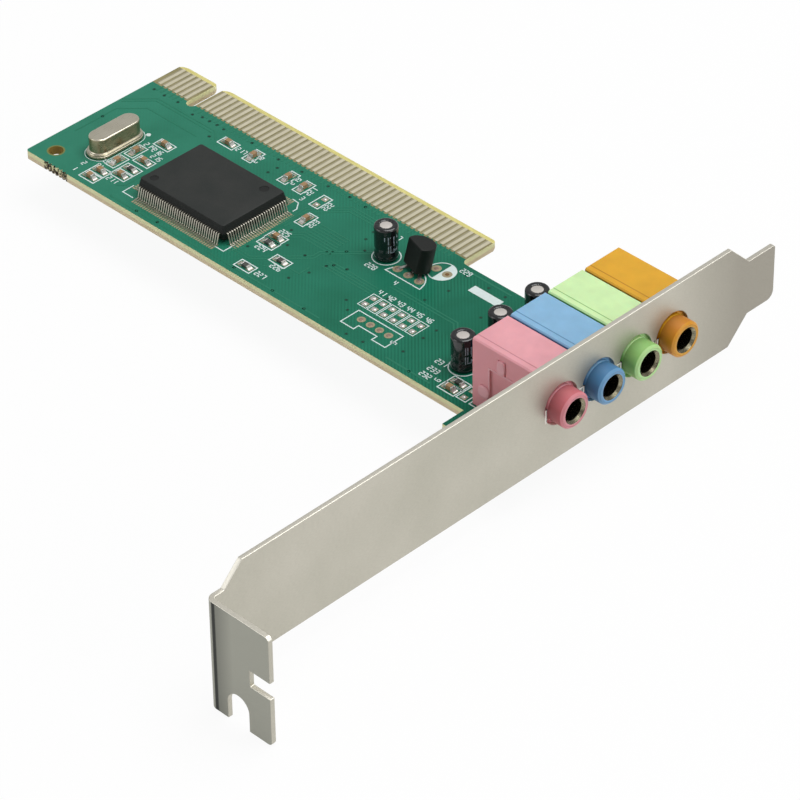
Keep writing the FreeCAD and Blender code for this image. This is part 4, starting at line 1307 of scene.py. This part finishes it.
# Small digits stamped in the plate beside the sockets: a pale line, and a dark one beside it that is a
# painted shadow
STAMP_BACK = 3.85
STAMP_DROP = 0.8
STAMP_SIZE = (0.9, 1.25)
STAMP_PALE = (0.32, 0.02)
STAMP_PAINTED_SHADOW = (0.26, 0.012)
STAMP_SHADOW_SHIFT = (0.2, 0.16)


def stamp_line(bm, line, width, height):
    """One stroke on the plate's outer face, given in Y and Z."""
    start, end = ([here + side * (width / 2), here - side * (width / 2)] for here, side in mitred(line))
    skin(bm, [[bm.verts.new(at(x, *corner)) for corner in start + end[::-1]] for x in (0.0, height)])


def make_stamps():
    pale = bmesh.new()
    dark = bmesh.new()
    for index, colour in enumerate(SOCKETS):
        y, z, radius = mouth_of(colour)
        middle = Vector((y - STAMP_BACK, z - STAMP_DROP))
        for digit, ends in strokes(index + 1):
            line = [middle + Vector(((u - 0.5) * STAMP_SIZE[0], (v - 1) * STAMP_SIZE[1])) for u, v in ends]
            stamp_line(pale, line, *STAMP_PALE)
            stamp_line(dark, [place + Vector(STAMP_SHADOW_SHIFT) for place in line], *STAMP_PAINTED_SHADOW)
    finish_piece("plate_stamps", pale, "stamp_pale")
    finish_piece("plate_stamp_shadows", dark, "stamp_painted_shadow")


# Plastic lips turned in over the metal at the sockets' mouths, from the liner's radius and the nose
LIP = ((0.1, 0.0), (0.1, -0.045), (-0.24, -0.045), (-0.29, -0.03), (-0.24, -0.005), (-0.1, 0.0), (0.1, 0.0))


def make_mouth_lips():
    for colour in SOCKETS:
        y, z, radius = mouth_of(colour)
        nose_x = card_box(colour + "_socket_housing")[1].x
        bm = bmesh.new()
        lathe(bm, [(radius + out, back) for out, back in LIP], (nose_x, y, z), (1, 0, 0), 56)
        finish_piece(colour + "_mouth_lip", bm, colour + "_plastic", 40)


# Plain numbers and a broken stripe on the capacitors' sleeves, in degrees round the can
SLEEVE_VALUES = (47, 10, 10, 10)
SECOND_VALUE = 16
VALUE_DROPS = (2.6, 4.3)
SLEEVE_DIGIT = 0.6
SLEEVE_STEP = 0.95
SLEEVE_STROKE = 0.16
SLEEVE_ANGLE = -52.0
SLEEVE_PRINT = (-0.01, 0.012)
STRIPE_ANGLES = (-8.0, 14.0)
STRIPE_START = 1.9
STRIPE_STEP = 1.15
STRIPE_LENGTH = 0.5


def on_sleeve(bm, centre, radius, angles, heights):
    """A thin patch on a sleeve, between two angles and two heights."""
    rows = []
    for out in SLEEVE_PRINT:
        reach = radius + out
        rows.append([bm.verts.new(at(centre.x + reach * cos(turn), centre.y + reach * sin(turn), z))
                     for turn, z in rectangle(*angles, *heights)])
    skin(bm, rows)


def make_sleeve_marks():
    bm = bmesh.new()
    half = SLEEVE_STROKE / 2
    for first, name in zip(SLEEVE_VALUES, CAPACITORS):
        low, high = card_box(name + "_sleeve")
        centre = (low + high) / 2
        radius = (high.x - low.x) / 2 + 0.01
        degree = math.degrees(1 / radius)
        for value, drop in zip((first, SECOND_VALUE), VALUE_DROPS):
            for i, ends in strokes(value):
                across, up = (sorted(axis) for axis in zip(*ends))
                start, end = (i * SLEEVE_STEP + u * SLEEVE_DIGIT for u in across)
                foot, top = (high.z - drop + v * SLEEVE_DIGIT for v in up)
                angles = (SLEEVE_ANGLE + (start - half) * degree, SLEEVE_ANGLE + (end + half) * degree)
                on_sleeve(bm, centre, radius, angles, (foot - half, top + half))
        for k in range(3):
            z = low.z + STRIPE_START + STRIPE_STEP * k
            on_sleeve(bm, centre, radius, STRIPE_ANGLES, (z, z + STRIPE_LENGTH))
    finish_piece("sleeve_marks", bm, "sleeve_print")


make_print()
make_tracks()
make_vias()
make_pads()
make_filled_pads()
make_solder()
make_chip_case()
make_chip_leads()
make_crystal()
make_capacitors()
make_softened()
make_stake_heads()
make_stamps()
make_mouth_lips()
make_sleeve_marks()
make_camera()
make_floor()
make_light()

bpy.context.scene.view_settings.view_transform = "Standard"
